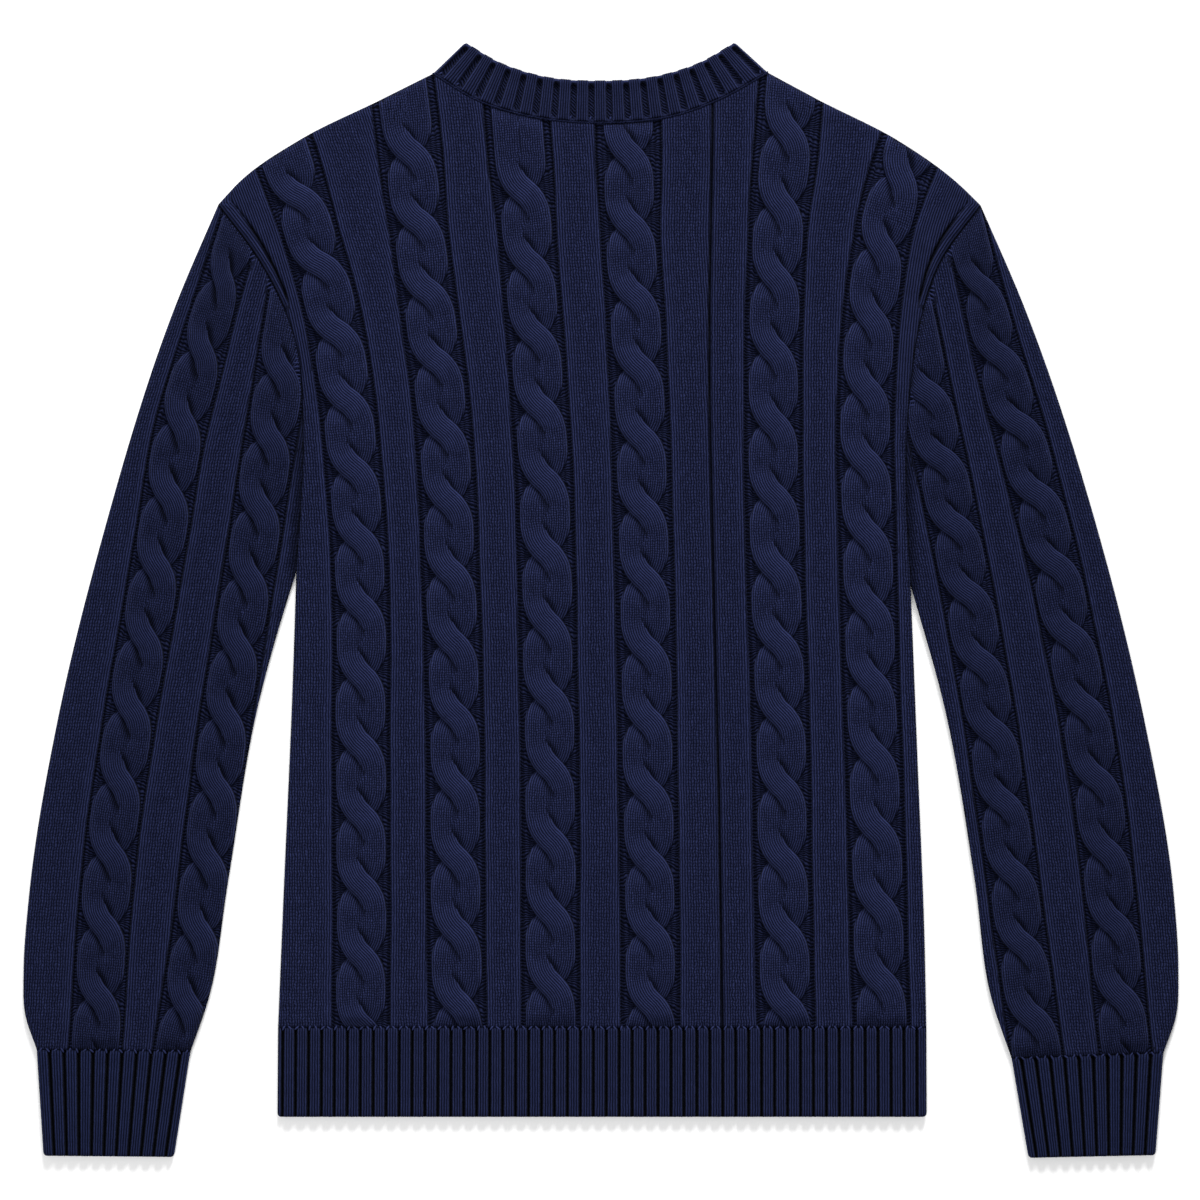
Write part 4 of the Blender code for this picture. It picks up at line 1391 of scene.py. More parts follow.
@dataclass
class ShapedBack(Panel):
    """Upper layer of the back, with its purl line and the ridges beside the armholes."""

    # Ridge beside each armhole
    ridge_from: float = 198.0  # heights on the garment
    ridge_to: float = 255.0
    ridge_end: float = 4.0  # its width at these heights
    ridge_top: float = 8.6
    ridge_crown: float = 4.3
    ridge_fullness: float = 0.6  # a lower one gives steeper sides
    ridge_lip: float = 1.9  # the cloth beside it rounds down within this
    ridge_reach: float = 2.0
    ridge_start: float = 4.0  # it rises within this above and below ridge_from
    column_blend: float = 8.0  # and its columns of points spread within this
    ridge_wale: float = 3.6
    on_ridge: Steps = (0.0, 0.1, 0.3, 0.5, 0.7, 0.9, 1.0)
    beside_ridge: Steps = (0.35, 0.9, 1.9)
    # painted shade in the groove beside the ridge fades between these distances from its edge
    groove_dark: Pair = (0.5, 1.6)
    groove_pale: float = 0.8  # share of that painted shade lost towards the shoulder
    groove_fade: Pair = (246.0, 257.0)

    # Cloth that the armholes draw out
    drawn_width: float = 24.0
    drawn_above: Pair = (90.0, 160.0)
    # painted shade on that cloth
    drawn_shade: float = 0.1

    # Purl line. Pairs are in its half widths
    purl_half: float = 1.6
    purl_wall: float = 1.2
    purl_margin: float = 0.8
    purl_bend: float = 0.55
    # painted shade in the purl line ends between these
    purl_dark: Pair = (0.35, 0.95)
    purl_drawn_out: float = 0.75
    purl_drawn: Pair = (2.2, 3.4)
    purl_place: int = 4  # it comes after this many cables

    def ridge_width(self, y: Array) -> Array:
        """Measure the ridge beside an armhole.

        Args:
            y: Heights.

        Returns:
            Its width at each height.
        """
        share = np.clip((y - self.ridge_from) / (self.ridge_to - self.ridge_from), 0.0, 1.0)
        return self.ridge_end + (self.ridge_top - self.ridge_end) * share

    def edge_step(self, step: int, y: Array, side: int) -> Array:
        """Distance along x of a column from the edge, which follows the ridge along an armhole.

        Args:
            step: Which column, counted from the edge.
            y: Heights.
            side: -1 for the left edge and 1 for the right one.

        Returns:
            The distances.
        """
        width = self.ridge_width(y)
        if step < len(self.on_ridge):
            ridge = self.on_ridge[step] * width
        else:
            ridge = width + self.beside_ridge[step - len(self.on_ridge)]
        line = self.left if side < 0 else self.right
        blend = ease(y, self.ridge_from - self.column_blend, self.ridge_from + self.column_blend)
        return (EDGE_STEPS[step] * (1.0 - blend) + ridge * blend) * slant(line, y)

    def channels(self) -> list[list[Line]]:
        """Lay out the columns over each channel and over the purl line.

        Returns:
            For each, its columns from left to right.
        """
        found = super().channels()
        reach, bend = self.purl_half, self.purl_bend * self.purl_half
        steps = (-reach - self.purl_margin, -reach, -bend, 0.0, bend, reach, reach + self.purl_margin)

        def column(step: float) -> Line:
            """One column over the purl line."""
            return lambda y: self.purl_line(y) + step

        found.insert(self.purl_place, [column(step) for step in steps])
        return found

    def purl_line(self, y: Array) -> Array:
        """Place of the purl line at the heights y."""
        return np.interp(y, PURL_HEIGHTS[::-1], PURL_CENTRES[::-1])

    def wall(self, x: Array, y: Array) -> Arrays:
        """Shape the back away from its outline.

        Args:
            x: Places.
            y: Their heights on the garment.

        Returns:
            Thickness of the wall, its painted shade, and how purled and drawn out it is.
        """
        wall, shade, purl, pull = super().wall(x, y)
        line = np.abs(x - self.purl_line(y)) / self.purl_half
        groove = 1.0 - quarter_round(line)
        wall = wall - (wall - self.purl_wall) * groove
        # Painted shade in the purl line's groove.
        shade = np.maximum(shade, 1.0 - ease(line, *self.purl_dark))
        pull = np.maximum(pull, self.purl_drawn_out * (1.0 - ease(line, *self.purl_drawn)))
        width = self.ridge_width(y)
        for side, edge in ((1, self.left), (-1, self.right)):
            distance = np.maximum(side * (x - edge(y)) / slant(edge, y), 0.0)
            strength = ease(y, self.ridge_from - self.ridge_start, self.ridge_from + self.ridge_start)
            centre = width / 2.0
            bulge = np.sqrt(np.clip(1.0 - ((distance - centre) / centre) ** 2, 0.0, 1.0))
            ridge = CHANNEL_WALL + (self.ridge_crown - CHANNEL_WALL) * bulge**self.ridge_fullness
            lip = quarter_round((distance - width) / self.ridge_lip)
            beyond = CHANNEL_WALL + (wall - CHANNEL_WALL) * lip
            shaped = np.where(distance < width, ridge, beyond)
            near = np.where(distance < width + self.ridge_reach, strength, 0.0)
            wall = wall * (1.0 - near) + shaped * near
            # Painted shade in the groove beside the ridge.
            groove = near * (1.0 - self.groove_pale * ease(y, *self.groove_fade))
            shade = np.maximum(shade, groove * (1.0 - ease(np.abs(distance - width), *self.groove_dark)))
            drawn = np.where(distance < self.drawn_width, ease(y, *self.drawn_above), 0.0)
            pull = np.maximum(pull, drawn)
            # Painted shade on the cloth drawn out by the armhole.
            shade = np.maximum(shade, self.drawn_shade * drawn)
        return wall, shade, purl, pull

    def wales(self, x: Array, y: Array) -> Array:
        """Count columns of stitches across the back, and along the armholes on their ridges.

        Args:
            x: Places, one row of columns after another.
            y: Their heights on the garment.

        Returns:
            The wale at each place.
        """
        count = super().wales(x, y)
        line = self.purl_line(y)
        next_strip = self.ropes[self.purl_place].edge(-1)(y)
        count = np.where((x > line) & (x < next_strip + CLOSE), (x - line) / WALE, count)
        width = self.ridge_width(y)
        for side, edge in ((1, self.left), (-1, self.right)):
            distance = side * (x - edge(y)) / slant(edge, y)
            on_ridge = (distance < width) & (y > self.ridge_from - self.ridge_start)
            count = np.where(on_ridge, distance / self.ridge_wale, count)
        return count


@dataclass
class FrontPanel:
    """The front, which lies on the surface under the back with its face down."""

    finish: KnitFinish
    rounding: Steps = (0.5, 1.4, 2.8, 4.6)
    rim: float = 0.3  # the edge rounds down from this far below the top
    cloth: Piece | None = None

    def build(self) -> None:
        """Model the panel."""
        outline = Outline(FRONT_PARTS)
        loop = outline.places
        cloth = ClothMesh()
        rim = cloth.add(np.column_stack((loop, np.full(len(loop), WALL))))
        cloth.faces.append(tuple(rim.tolist()))
        before = rim
        for distance in (0.0, *self.rounding):
            height = (WALL - self.rim) * (1.0 - quarter_round(distance / self.rounding[-1]))
            ring = cloth.add(np.column_stack((outline.inset(loop, distance), np.full(len(loop), height))))
            cloth.add_strip(before, ring)
            before = ring
        cloth.faces.append(tuple(before[::-1].tolist()))
        self.cloth = cloth.build("front", self.finish)
        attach(self.cloth, "root")
        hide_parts("front_panel")
        width, length = outline.span()


@dataclass
class Sleeve:
    """A sleeve pressed flat: one tube with two walls, two cables on the upper one."""

    side: Side
    finish: KnitFinish
    rounding: Steps = (0.5, 1.4, 2.8, 4.6)
    wall_inset: float = 3.2
    at_corner: float = 0.5  # a place this close to a corner isn't on a fold
    rows: int = 180
    swing: float = 7.9
    strand_half: float = 8.4
    channel: float = 1.7
    narrow: Pair = (0.2, 0.0)  # of the outer cable and of the inner one
    armhole_shade_below: float = 150.0
    cloth: Piece | None = None
    cables: Piece | None = None

    def build(self) -> None:
        """Model the tube and its cables."""
        word = self.side.name.lower()
        outline = Outline(SLEEVE_PARTS[self.side])
        ropes = tuple(RopeCable(track, 11.0 + 3.0 * number + self.side.value, swing=self.swing,
                                strand_half=self.strand_half, channel=self.channel, narrow=narrow)
                      for number, (track, narrow) in enumerate(zip(SLEEVE_TRACKS[self.side], self.narrow)))
        outer = line_of((word + "_outer",))
        inner = line_of((word + "_inner", word + "_armhole"), SEAM_GAP * self.side.value)
        tip = EDGES[word + "_armhole"].points[0 if self.side is Side.LEFT else -1][1]
        is_left = self.side is Side.LEFT
        panel = Panel(
            outline=outline,
            left=outer if is_left else inner,
            right=inner if is_left else outer,
            bottom=height_of((word + "_cuff",), SEAM_GAP),
            top=lambda x: np.full(np.shape(x), tip),
            ropes=ropes if is_left else ropes[::-1],
            rows=self.rows,
            seed=5.0 + self.side.value,
            armhole_shade_below=self.armhole_shade_below,
        )
        cloth = ClothMesh()
        border = panel.upper(cloth)
        self._under(cloth, border, outline)
        self.cloth = cloth.build("sleeve_" + word + "_knit", self.finish)
        self.cables = build_cables("sleeve_" + word + "_cables", self.finish, ropes, outline)
        width, length = outline.span()
        for piece in (self.cloth, self.cables):
            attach(piece, "root")
            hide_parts("sleeve_" + word)

    def _under(self, cloth: ClothMesh, border: Array, outline: Outline) -> None:
        """Add the lower wall, and the slit between the walls that is open at both ends.

        Args:
            cloth: The tube, whose upper surface is there.
            border: Numbers of that surface's border.
            outline: The sleeve's outline.
        """
        loop = np.vstack(cloth.places)[border][:, :2]
        _, fold, seam, _ = outline.measure(loop)
        from_corner = np.linalg.norm(loop[:, None, :] - outline.corners[None], axis=2).min(axis=1)
        turned = (fold <= seam) & (from_corner >= self.at_corner)
        closed = turned | np.roll(turned, -1)

        def ring(height: float, inset: float = 0.0) -> Array:
            """Add one loop at a height.

            Args:
                height: Above the surface.
                inset: How far it is moved inwards at the folds.

            Returns:
                The loop's numbers.
            """
            places = outline.inset(loop, inset) if inset else loop
            places = np.where(turned[:, None], places, loop)
            return cloth.add(np.column_stack((places, np.full(len(loop), height))))

        ceiling = ring(UPPER_BASE)
        floor = ring(WALL)
        cloth.add_strip(border, ceiling)
        cloth.add_strip(ceiling, floor, closed)
        before = floor
        for distance in self.rounding:
            after = ring(WALL * (1.0 - float(quarter_round(distance / self.rounding[-1]))), distance)
            cloth.add_strip(before, after)
            before = after
        cloth.faces.append(tuple(before[::-1].tolist()))
        inner_ceiling = ring(UPPER_BASE, self.wall_inset)
        inner_floor = ring(WALL, self.wall_inset)
        cloth.faces.append(tuple(inner_ceiling[::-1].tolist()))
        cloth.faces.append(tuple(inner_floor.tolist()))
        cloth.add_strip(inner_floor, inner_ceiling, closed)


@dataclass
class RibbedRing:
    """A ribbed tube pressed flat: hem, cuff or neckband."""

    name: str
    node: str
    slot: str
    finish: KnitFinish
    seam: Places
    free: Places
    grooves: int
    first_groove: float
    last_groove: float
    crown: float
    groove: float
    groove_half: float
    spread: Pair = (0.0, 0.0)  # the ribs fan out by this share at the seam and end

    # Shape. Distances from a groove are in its half widths
    corner: float = 2.6
    end_fade: float = 0.0  # the grooves end this far before the free edge
    end_faded: float = 1.2
    start_fade: Pair = (0.4, 2.6)
    fold_radius: float = 4.6
    scallop: float = 0.35  # the free edge draws in at a groove
    scalloped: float = 1.2
    rib_start: float = 0.7
    rib_rounding: float = 1.5
    # a groove's painted shade and purl end between these
    groove_edge: Pair = (0.8, 1.3)
    opening: float = 0.6  # a groove is wider at the seam
    opened: float = 3.0
    seam_height: float = 0.45  # share of the wall left at the seam
    end_radius: float = 2.2
    seam_steps: Steps = (0.0, 0.3, 0.8, 1.5, 2.4)
    middle: tuple[float, float, int] = (4.4, 5.2, 8)  # more from the seam to the end, and how many
    end_steps: Steps = (3.8, 3.1, 2.4, 1.7, 1.1, 0.55, 0.2, 0.0)
    groove_steps: Steps = (0.5, 0.9, 1.12, 1.35, 1.7, 2.4)

    # Stitches, and painted light and shade
    wales: float = 2.0  # columns of stitches on a rib
    groove_wale: float = 0.5
    groove_purl: float = 0.0
    drawn_out: float = 0.95
    stitch_lean: float = 0.8
    groove_shade: float = 1.0
    end_shade: float = 0.6  # a pale groove's painted shade deepens at the free edge
    end_shaded: Pair = (3.0, 6.5)
    seam_shade: float = 0.3
    seam_shaded: Pair = (0.5, 1.6)
    lip: float = 0.25  # painted highlight on a rib's edge
    lip_reach: float = 0.8
    lip_lit: Pair = (1.1, 1.3)
    lip_unlit: Pair = (1.4, 1.8)
    under_seam: Places = ()
    under_free: Places = ()
    under_steps: int = 12
    cloth: Piece | None = None

    def shares(self) -> Array:
        """Places across the ribs.

        Returns:
            Shares of the width, from 0 to 1, close together at each groove and at both ends.
        """
        width = curve_length(self.seam)
        reach = self.groove_half / width
        centres = self.centres()
        found = [np.array(EDGE_STEPS[1:6]) / width, 1.0 - np.array(EDGE_STEPS[1:6]) / width]
        steps = np.array(self.groove_steps)
        steps = np.concatenate((-steps[::-1], (0.0,), steps)) * reach
        found += [centre + steps for centre in centres]
        found.append((centres[1:] + centres[:-1]) / 2.0)
        shares = np.unique(np.round(np.concatenate(found), 7))
        return shares[(shares > 0.0) & (shares < 1.0)]

    def centres(self) -> Array:
        """Shares of the width at which the grooves run."""
        return np.linspace(self.first_groove, self.last_groove, self.grooves)

    def from_groove(self, share: Array) -> Array:
        """Distance of shares of the width from the nearest groove, in millimetres."""
        gaps = np.abs(np.asarray(share)[..., None] - self.centres())
        return gaps.min(axis=-1) * curve_length(self.seam)

    def rib_height(self, share: Array, along: Array, length: float) -> Arrays:
        """Shape the ribs.

        Args:
            share: Place across the ribs, from 0 to 1.
            along: Distance from the seam.
            length: Whole length of the ribs.

        Returns:
            Thickness of the wall, and how far the place is in a groove.
        """
        half = self.groove_half
        beside = self.from_groove(share)
        if not self.end_fade:
            beside = beside - self.opening * (1.0 - ease(along, 0.0, self.opened))
        rise = quarter_round((beside - self.rib_start * half) / (self.rib_rounding * half))
        depth = 1.0 - ease(beside, self.groove_edge[0] * half, self.groove_edge[1] * half)
        if self.end_fade:
            arch = half - np.sqrt(np.maximum(half**2 - beside**2, 0.0))
            fade = ease(length - along - arch, self.end_fade - self.end_faded, self.end_fade)
            fade = fade * ease(along, *self.start_fade)
            rise = 1.0 - (1.0 - rise) * fade
            depth = depth * fade
        return self.groove + (self.crown - self.groove) * rise, depth

    def section_ends(self, lines: tuple[Places, Places], share: float, upper: bool) -> Array:
        """Find where a section starts at the seam and ends at the free edge.

        Args:
            lines: The seam and the free edge of this layer.
            share: Place across the ribs.
            upper: Whether this is the upper layer, whose ribs fan out.

        Returns:
            The two places, 2 by 2.
        """
        round_middle = math.sin(2.0 * math.pi * (share - 0.5))
        spread = self.spread if upper else (0.0, 0.0)
        return np.vstack([smooth_curve(line, (share + amount / (2.0 * math.pi) * round_middle,))
                          for line, amount in zip(lines, spread)])

    def cut(self, share: float, upper: bool) -> float:
        """Measure how far a section ends before the free edge.

        Args:
            share: Place across the ribs.
            upper: Whether this is the upper layer.

        Returns:
            The distance, which a rounded corner or a groove makes.
        """
        from_end = min(share, 1.0 - share) * curve_length(self.seam)
        cut = 0.0
        if self.corner and from_end < self.corner:
            cut = self.corner * (1.0 - math.sqrt(1.0 - (1.0 - from_end / self.corner) ** 2))
        groove = float(self.from_groove(np.array(share))) < self.scalloped * self.groove_half
        return cut + (self.scallop if groove and upper else 0.0)

    def stitches(self, share: float, along: Array) -> Array:
        """Lay stitch coordinates along a section.

        Args:
            share: Place across the ribs.
            along: Distances from the seam.

        Returns:
            Wale and course of each point.
        """
        width = curve_length(self.seam)
        pitch = (self.last_groove - self.first_groove) / (self.grooves - 1)
        turn = (share - self.first_groove) / pitch % 1.0 * pitch * width
        edge = self.groove_half
        rib = pitch * width - 2.0 * edge
        wale = (turn - edge) / rib * self.wales if edge < turn < edge + rib else self.groove_wale
        aside = turn if turn < edge else (turn - pitch * width if turn > edge + rib else 0.0)
        return np.column_stack((np.full(along.shape, wale), (self.stitch_lean * aside - along) / COURSE))

    def shade(self, share: float, along: Array, length: float, depth: Array) -> Array:
        """Paint shade on a section in a groove and at the seam, and a highlight on a rib's edges.

        Args:
            share: Place across the ribs.
            along: Distances from the seam.
            length: Whole length of the ribs.
            depth: How far each point is in a groove.

        Returns:
            The painted shade of each point.
        """
        at_end = 1.0 - ease(length - along, *self.end_shaded)
        deep = self.groove_shade + self.end_shade * (1.0 - self.groove_shade) * at_end
        beside = float(self.from_groove(np.array(share))) / self.groove_half
        unlit = [edge + self.lip_reach for edge in self.lip_unlit]
        lip = self.lip * ease(beside, *self.lip_lit) * (1.0 - ease(beside, *unlit))
        at_seam = self.seam_shade * (1.0 - ease(along, *self.seam_shaded))
        return np.maximum(deep * depth, at_seam) - lip * (1.0 - depth)

    def loop(self, lines: tuple[Places, Places], share: float, inner: float, upper: bool,
             flat: bool) -> Arrays:
        """Place one section round the wall, from the seam's inside over the outside to the free edge.

        Args:
            lines: The seam and the free edge of this layer.
            share: Place across the ribs.
            inner: The same, kept clear of the folds, for the inside.
            upper: Whether this is the upper layer.
            flat: Whether the section is pressed to nothing at a fold.

        Returns:
            Places, stitches and traits of the section's points.
        """
        out = self.section_ends(lines, share, upper)
        into = self.section_ends(lines, inner, upper)
        step = out[1] - out[0]
        length = float(np.linalg.norm(step))
        step /= length
        cut = self.cut(share, upper)
        after_seam, before_end, count = self.middle
        along = np.concatenate((SEAM_GAP + np.array(self.seam_steps),
                                np.linspace(after_seam, length - before_end, count),
                                length - cut - np.array(self.end_steps)))
        base = UPPER_BASE if upper else WALL
        middle = (UPPER_BASE + WALL) / 2.0 if flat else base
        wall, in_groove = self.rib_height(np.full(along.shape, share), along, length)
        if not upper:
            wall, in_groove = np.full(along.shape, WALL), np.zeros(along.shape)
        start = quarter_round((along - SEAM_GAP) / self.end_radius)
        ending = np.minimum(self.seam_height + (1.0 - self.seam_height) * start,
                            quarter_round((length - cut - along) / self.end_radius))
        from_end = min(share, 1.0 - share) * curve_length(self.seam)
        rise = wall * ending * float(quarter_round(from_end / self.fold_radius))
        if flat:
            heights = np.full(along.shape, middle)
        else:
            heights = base + rise if upper else base - rise
        outer = np.column_stack((out[0] + step * along[:, None], heights))
        first = np.array([[*(into[0] + step * SEAM_GAP), middle]])
        last = np.array([[*(into[1] - step * cut), middle]])
        along = np.concatenate(([0.0], along, [length]))
        depth = np.concatenate(([0.0], in_groove, [0.0]))
        traits = np.column_stack((self.shade(share, along, length, depth), self.groove_purl * depth,
                                  np.full(depth.shape, self.drawn_out)))
        return np.vstack((first, outer, last)), self.stitches(share, along), traits

    def build(self) -> None:
        """Model the ring."""
        width = curve_length(self.seam)
        inner = WALL / width
        above = (self.seam, self.free)
        below = (self.under_seam or self.seam, self.under_free or self.free)
        steps = np.linspace(1.0, 0.0, self.under_steps)[1:-1]
        edges = np.array(EDGE_STEPS[1:7]) / width
        sections = [(above, 0.0, True, True), *((above, share, True, False) for share in self.shares()),
                    (above, 1.0, True, True),
                    *((below, share, False, False) for share in (*(1.0 - edges), *steps, *edges[::-1]))]
        cloth = ClothMesh()
        rows = [cloth.add(*self.loop(lines, share, min(max(share, inner), 1.0 - inner), upper, flat))
                for lines, share, upper, flat in sections]
        for row, after in zip(rows, rows[1:] + rows[:1]):
            cloth.add_strip(after, row)
        self.cloth = cloth.build(self.name, self.finish)
        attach(self.cloth, "root")
        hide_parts(self.node)
        lengths = [curve_length(line) for line in (self.seam, self.free, *below)]
        span = np.linalg.norm(smooth_curve(self.seam, (0.5,)) - smooth_curve(self.free, (0.5,)))


@dataclass
class LinkedSeam:
    """Chain of linking stitches along a seam, each a small loop of yarn."""

    name: str
    line: Places
    slot: str
    nodes: tuple[str, ...]
    finish: KnitFinish
    spacing: float = 2.3  # from one loop to the next
    length: float = 3.1
    width: float = 1.5
    height: float = 1.3
    level: float = 5.3  # of the loops' middles above the surface
    shift: float = 0.0  # to the left of the line
    turn: float = 0.2  # against the line, in radians
    zigzag: float = 0.0  # every second loop turns this much more and the others less
    scatter: float = 0.0  # uneven turns and levels
    bob: float = 0.4  # share of the scatter that goes to the level
    apart: float = 61.0  # two loops are this far apart on the slow waves
    seed: float = 3.0
    # painted shade on the loops, below 0 a painted highlight
    shade: float = 0.0
    span: Pair = (0.0, 1.0)  # shares of the line between which the loops lie
    stitch: Pair = (0.25, 0.5)  # wale and course in a loop's middle
    stitch_reach: Pair = (0.1, 0.2)  # and their change to its sides
    piece: Piece | None = None

    def build(self, loop: Array, faces: list[tuple[int, ...]]) -> None:
        """Lay loops along the seam.

        Args:
            loop: Points of one loop of yarn, n by 3, a millimetre in each half axis.
            faces: Its faces.
        """
        first, last = self.span
        count = round(curve_length(self.line) * (last - first) / self.spacing)
        spots = smooth_curve(self.line, first + (np.arange(count) + 0.5) / count * (last - first))
        ahead = np.gradient(spots, axis=0)
        ahead /= np.linalg.norm(ahead, axis=1)[:, None]
        cloth = ClothMesh()
        for number, (spot, (dx, dy)) in enumerate(zip(spots, ahead)):
            wave = one_of_many(number, self.apart, self.seed)
            local = loop * (self.length / 2.0, self.width / 2.0, self.height / 2.0)
            turn = self.turn + self.scatter * wave + (self.zigzag if number % 2 else -self.zigzag)
            x = local[:, 0] * math.cos(turn) - local[:, 1] * math.sin(turn)
            y = local[:, 0] * math.sin(turn) + local[:, 1] * math.cos(turn) + self.shift
            places = np.column_stack((spot[0] + x * dx - y * dy, spot[1] + x * dy + y * dx,
                                      self.level + self.bob * self.scatter * wave + local[:, 2]))
            stitches = loop[:, [1, 0]] * self.stitch_reach + self.stitch
            numbers = cloth.add(places, stitches, np.tile((self.shade, 0.0, 1.0), (len(places), 1)))
            cloth.faces.extend(tuple(int(numbers[i]) for i in face) for face in faces)
        self.piece = cloth.build(self.name, self.finish)
        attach(self.piece, "root")
        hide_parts(*self.nodes)


@dataclass(frozen=True)
class SoftLight:
    """A square soft light, in metres, degrees and watts."""

    name: str
    place: tuple[float, float, float]
    turn: tuple[float, float, float]
    size: float
    power: float

    def build(self) -> None:
        """Hang the light."""
        data = bpy.data.lights.new(self.name, "AREA")
        data.size = self.size
        data.energy = self.power
        light = bpy.data.objects.new(self.name, data)
        light.location = self.place
        light.rotation_euler = tuple(math.radians(angle) for angle in self.turn)
        bpy.context.scene.collection.objects.link(light)


@dataclass
class Studio:
    """Pale floor, soft light and a camera straight above the garment, in metres."""

    camera_height: float = 4.0
    garment_height: float = 0.008
    view_width: float = 0.792
    centre: Pair = (-0.00066, 0.0005)
    sensor: float = 36.0
    floor_size: float = 8.0
    floor_drop: float = 0.0003
    floor_tone: float = 0.94
    floor_roughness: float = 0.9
    daylight: float = 0.42
    lights: tuple[SoftLight, ...] = (
        SoftLight("top light", (0.4, 3.9, 2.15), (-61.0, 0.0, -6.0), 1.48, 280.0),
        SoftLight("overhead light", (-0.6, -0.6, 2.8), (12.0, -12.0, 0.0), 1.8, 43.0),
    )

    def build(self) -> None:
        """Set the floor, the lights and the camera."""
        bpy.ops.object.select_all(action="DESELECT")
        bpy.ops.mesh.primitive_plane_add(size=self.floor_size, location=(0.0, 0.0, -self.floor_drop))
        floor = bpy.context.active_object
        floor.name = "floor"
        pale = bpy.data.materials.new("pale floor")
        pale.use_nodes = True
        shader = pale.node_tree.nodes["Principled BSDF"]
        shader.inputs["Base Color"].default_value = (*(self.floor_tone,) * 3, 1.0)
        shader.inputs["Roughness"].default_value = self.floor_roughness
        floor.data.materials.append(pale)
        scene = bpy.context.scene
        world = bpy.data.worlds.new("studio")
        world.use_nodes = True
        world.node_tree.nodes["Background"].inputs[0].default_value = (1.0, 1.0, 1.0, 1.0)
        world.node_tree.nodes["Background"].inputs[1].default_value = self.daylight
        scene.world = world
        scene.view_settings.view_transform = "Standard"
        for light in self.lights:
            light.build()
        camera_data = bpy.data.cameras.new("camera")
        camera_data.sensor_width = self.sensor
        camera_data.lens = self.sensor * (self.camera_height - self.garment_height) / self.view_width
        camera = bpy.data.objects.new("camera", camera_data)
        camera.location = (*self.centre, self.camera_height)
        scene.collection.objects.link(camera)
        scene.camera = camera


def yarn_loop() -> tuple[Array, list[tuple[int, ...]]]:
    """Model one small loop of yarn, which every linked seam copies.

    Returns:
        Its points and its faces.
    """
    bpy.ops.object.select_all(action="DESELECT")
    bpy.ops.mesh.primitive_uv_sphere_add(segments=8, ring_count=6, radius=1.0)
    model = bpy.context.active_object
    points = np.array([vertex.co[:] for vertex in model.data.vertices])[:, [2, 1, 0]]
    faces = [tuple(reversed(face.vertices)) for face in model.data.polygons]
    bpy.data.objects.remove(model, do_unlink=True)
    return points, faces


def ribbed_rings() -> list[RibbedRing]:
    """Set the sizes of the hem, the cuffs and the neckband.

    Returns:
        The rings, not built yet.
    """
    # Darker copies of the body yarn's colour: painted shade on the ribs.
    rib_yarn = KnitFinish("rib yarn", colour=(0.0071, 0.0093, 0.0284))
    cuff_yarn = KnitFinish("cuff yarn", colour=(0.0062, 0.0085, 0.0264))
    neck_yarn = KnitFinish("neck yarn", colour=(0.0072, 0.0093, 0.0280))
    neck_free = ((88.2, 369.2), (65.5, 356.2), (39.0, 347.6), (0.0, 344.0), (-40.4, 347.4),
                 (-66.9, 356.1), (-89.5, 369.2))
    neck_under = ((87.8, 368.3), (68.0, 331.0), (40.0, 305.0), (0.0, 295.5), (-40.0, 305.0),
                  (-68.0, 331.0), (-89.1, 368.3))
    rings = [
        RibbedRing("hem", "hem_rib", "rib_knit", rib_yarn, EDGES["hem"].points,
                   ((-213.8, -340.9), (215.2, -340.9)), grooves=50, first_groove=0.0077,
                   last_groove=0.985, crown=3.7, groove=0.5, groove_half=0.85, under_steps=20),
        RibbedRing("neck_rib", "neckband", "neck_rib_knit", neck_yarn, EDGES["back_neck"].points, neck_free,
                   grooves=18, first_groove=0.018, last_groove=0.982, crown=4.4, groove=1.0,
                   groove_half=2.15, wales=2.5, corner=2.4, end_fade=3.0, fold_radius=2.6,
                   groove_shade=0.1, groove_purl=1.0, groove_wale=0.25, seam_shade=0.9, lip=0.45,
                   lip_reach=0.0, spread=(-0.085, 0.068), under_seam=EDGES["front_neck"].points,
                   under_free=neck_under, under_steps=24),
    ]
    for name, node, free, first, last in (
            ("left_cuff", "cuff_left", ((-368.4, -366.6), (-282.2, -367.4)), 0.085, 0.938),
            ("right_cuff", "cuff_right", ((282.5, -368.0), (366.4, -366.2)), 0.062, 0.915)):
        rings.insert(-1, RibbedRing(name, node, "rib_knit", cuff_yarn, EDGES[name].points, free, grooves=10,
                                    first_groove=first, last_groove=last, crown=3.8, groove=0.5,
                                    groove_half=1.05))
    return rings


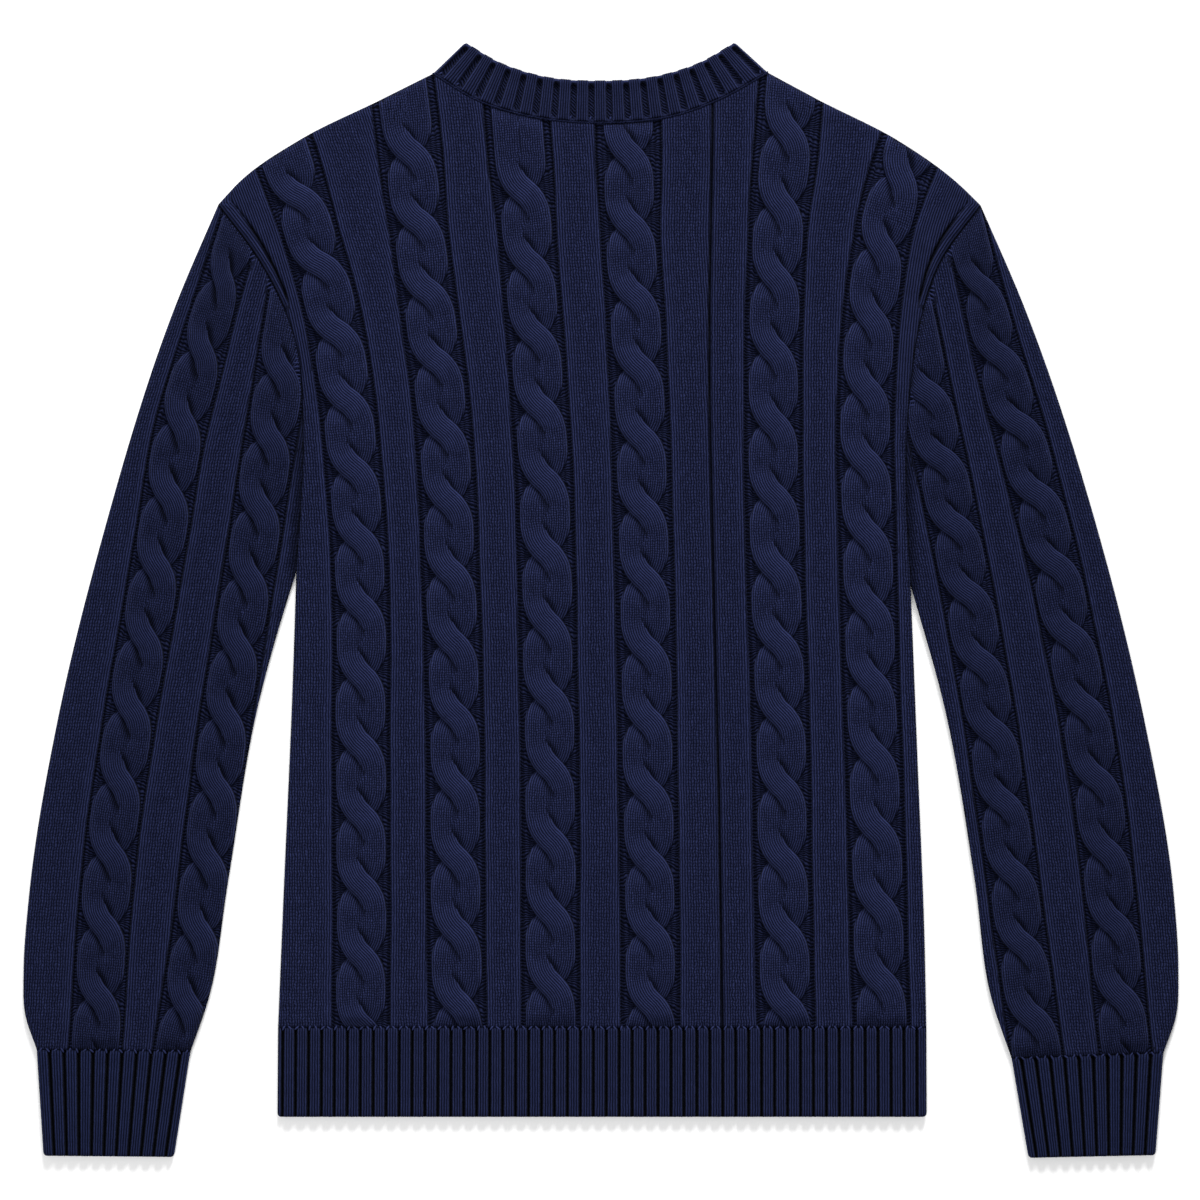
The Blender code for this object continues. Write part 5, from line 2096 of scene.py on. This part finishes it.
def linked_seams() -> list[LinkedSeam]:
    """Set the sizes of the linked seams of the neck, the hem, the cuffs and the armholes.

    Returns:
        The seams, not built yet.
    """
    yarn = KnitFinish("seam yarn", relief=0.0003)
    neck = EDGES["back_neck"].points
    seams = [LinkedSeam("neck_seam", neck, "neck_rib_knit", ("neckband",), yarn, spacing=2.1,
                        length=3.2, width=1.4, height=1.9, level=5.9, scatter=0.4, shade=0.5),
             LinkedSeam("neck_loops", neck, "neck_rib_knit", ("neckband",), yarn, spacing=13.15,
                        length=2.6, width=1.3, height=1.4, level=5.9, shift=-2.6, turn=1.2,
                        span=(-0.01035, 1.01035))]
    # The hem's loops get a painted highlight, the cuffs' loops painted shade.
    for edge, node, ribs, shade, span in (("hem", "hem_rib", 8.54, -0.15, (0.004, 0.995)),
                                          ("left_cuff", "cuff_left", 9.6, 0.1, (0.004, 1.0)),
                                          ("right_cuff", "cuff_right", 9.6, 0.1, (0.004, 1.0))):
        seams.append(LinkedSeam(edge + "_seam", EDGES[edge].points, "rib_knit", (node,), yarn,
                                spacing=ribs / 2.0, length=3.6, width=1.3, height=1.6, level=6.0, turn=1.57,
                                zigzag=0.6, scatter=0.35, shift=-0.2, shade=shade, span=span))
    for word, span in (("left", (0.03, 0.55)), ("right", (0.45, 0.97))):
        seams.append(LinkedSeam(word + "_armhole_seam", EDGES[word + "_armhole"].points, "sleeve_knit",
                                ("sleeve_" + word,), yarn, spacing=2.7, length=4.4, width=1.2, height=1.0,
                                level=5.6, shift=-2.8, turn=1.57, scatter=0.25, shade=0.1, span=span))
    return seams


def main() -> None:
    """Build the sweater piece by piece, then the studio."""
    logging.basicConfig(level=logging.INFO, format="%(name)s %(message)s")
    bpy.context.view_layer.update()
    body_yarn = KnitFinish("body yarn")
    # A darker copy of the body yarn's colour: painted shade on the sleeves.
    sleeve_yarn = KnitFinish("sleeve yarn", colour=(0.0081, 0.0105, 0.0318))
    FrontPanel(body_yarn).build()
    BackPanel(body_yarn).build()
    for side in Side:
        Sleeve(side, sleeve_yarn).build()
    for ring in ribbed_rings():
        ring.build()
    loop, faces = yarn_loop()
    for seam in linked_seams():
        seam.build(loop, faces)
    Studio().build()


if __name__ == "__main__":
    main()
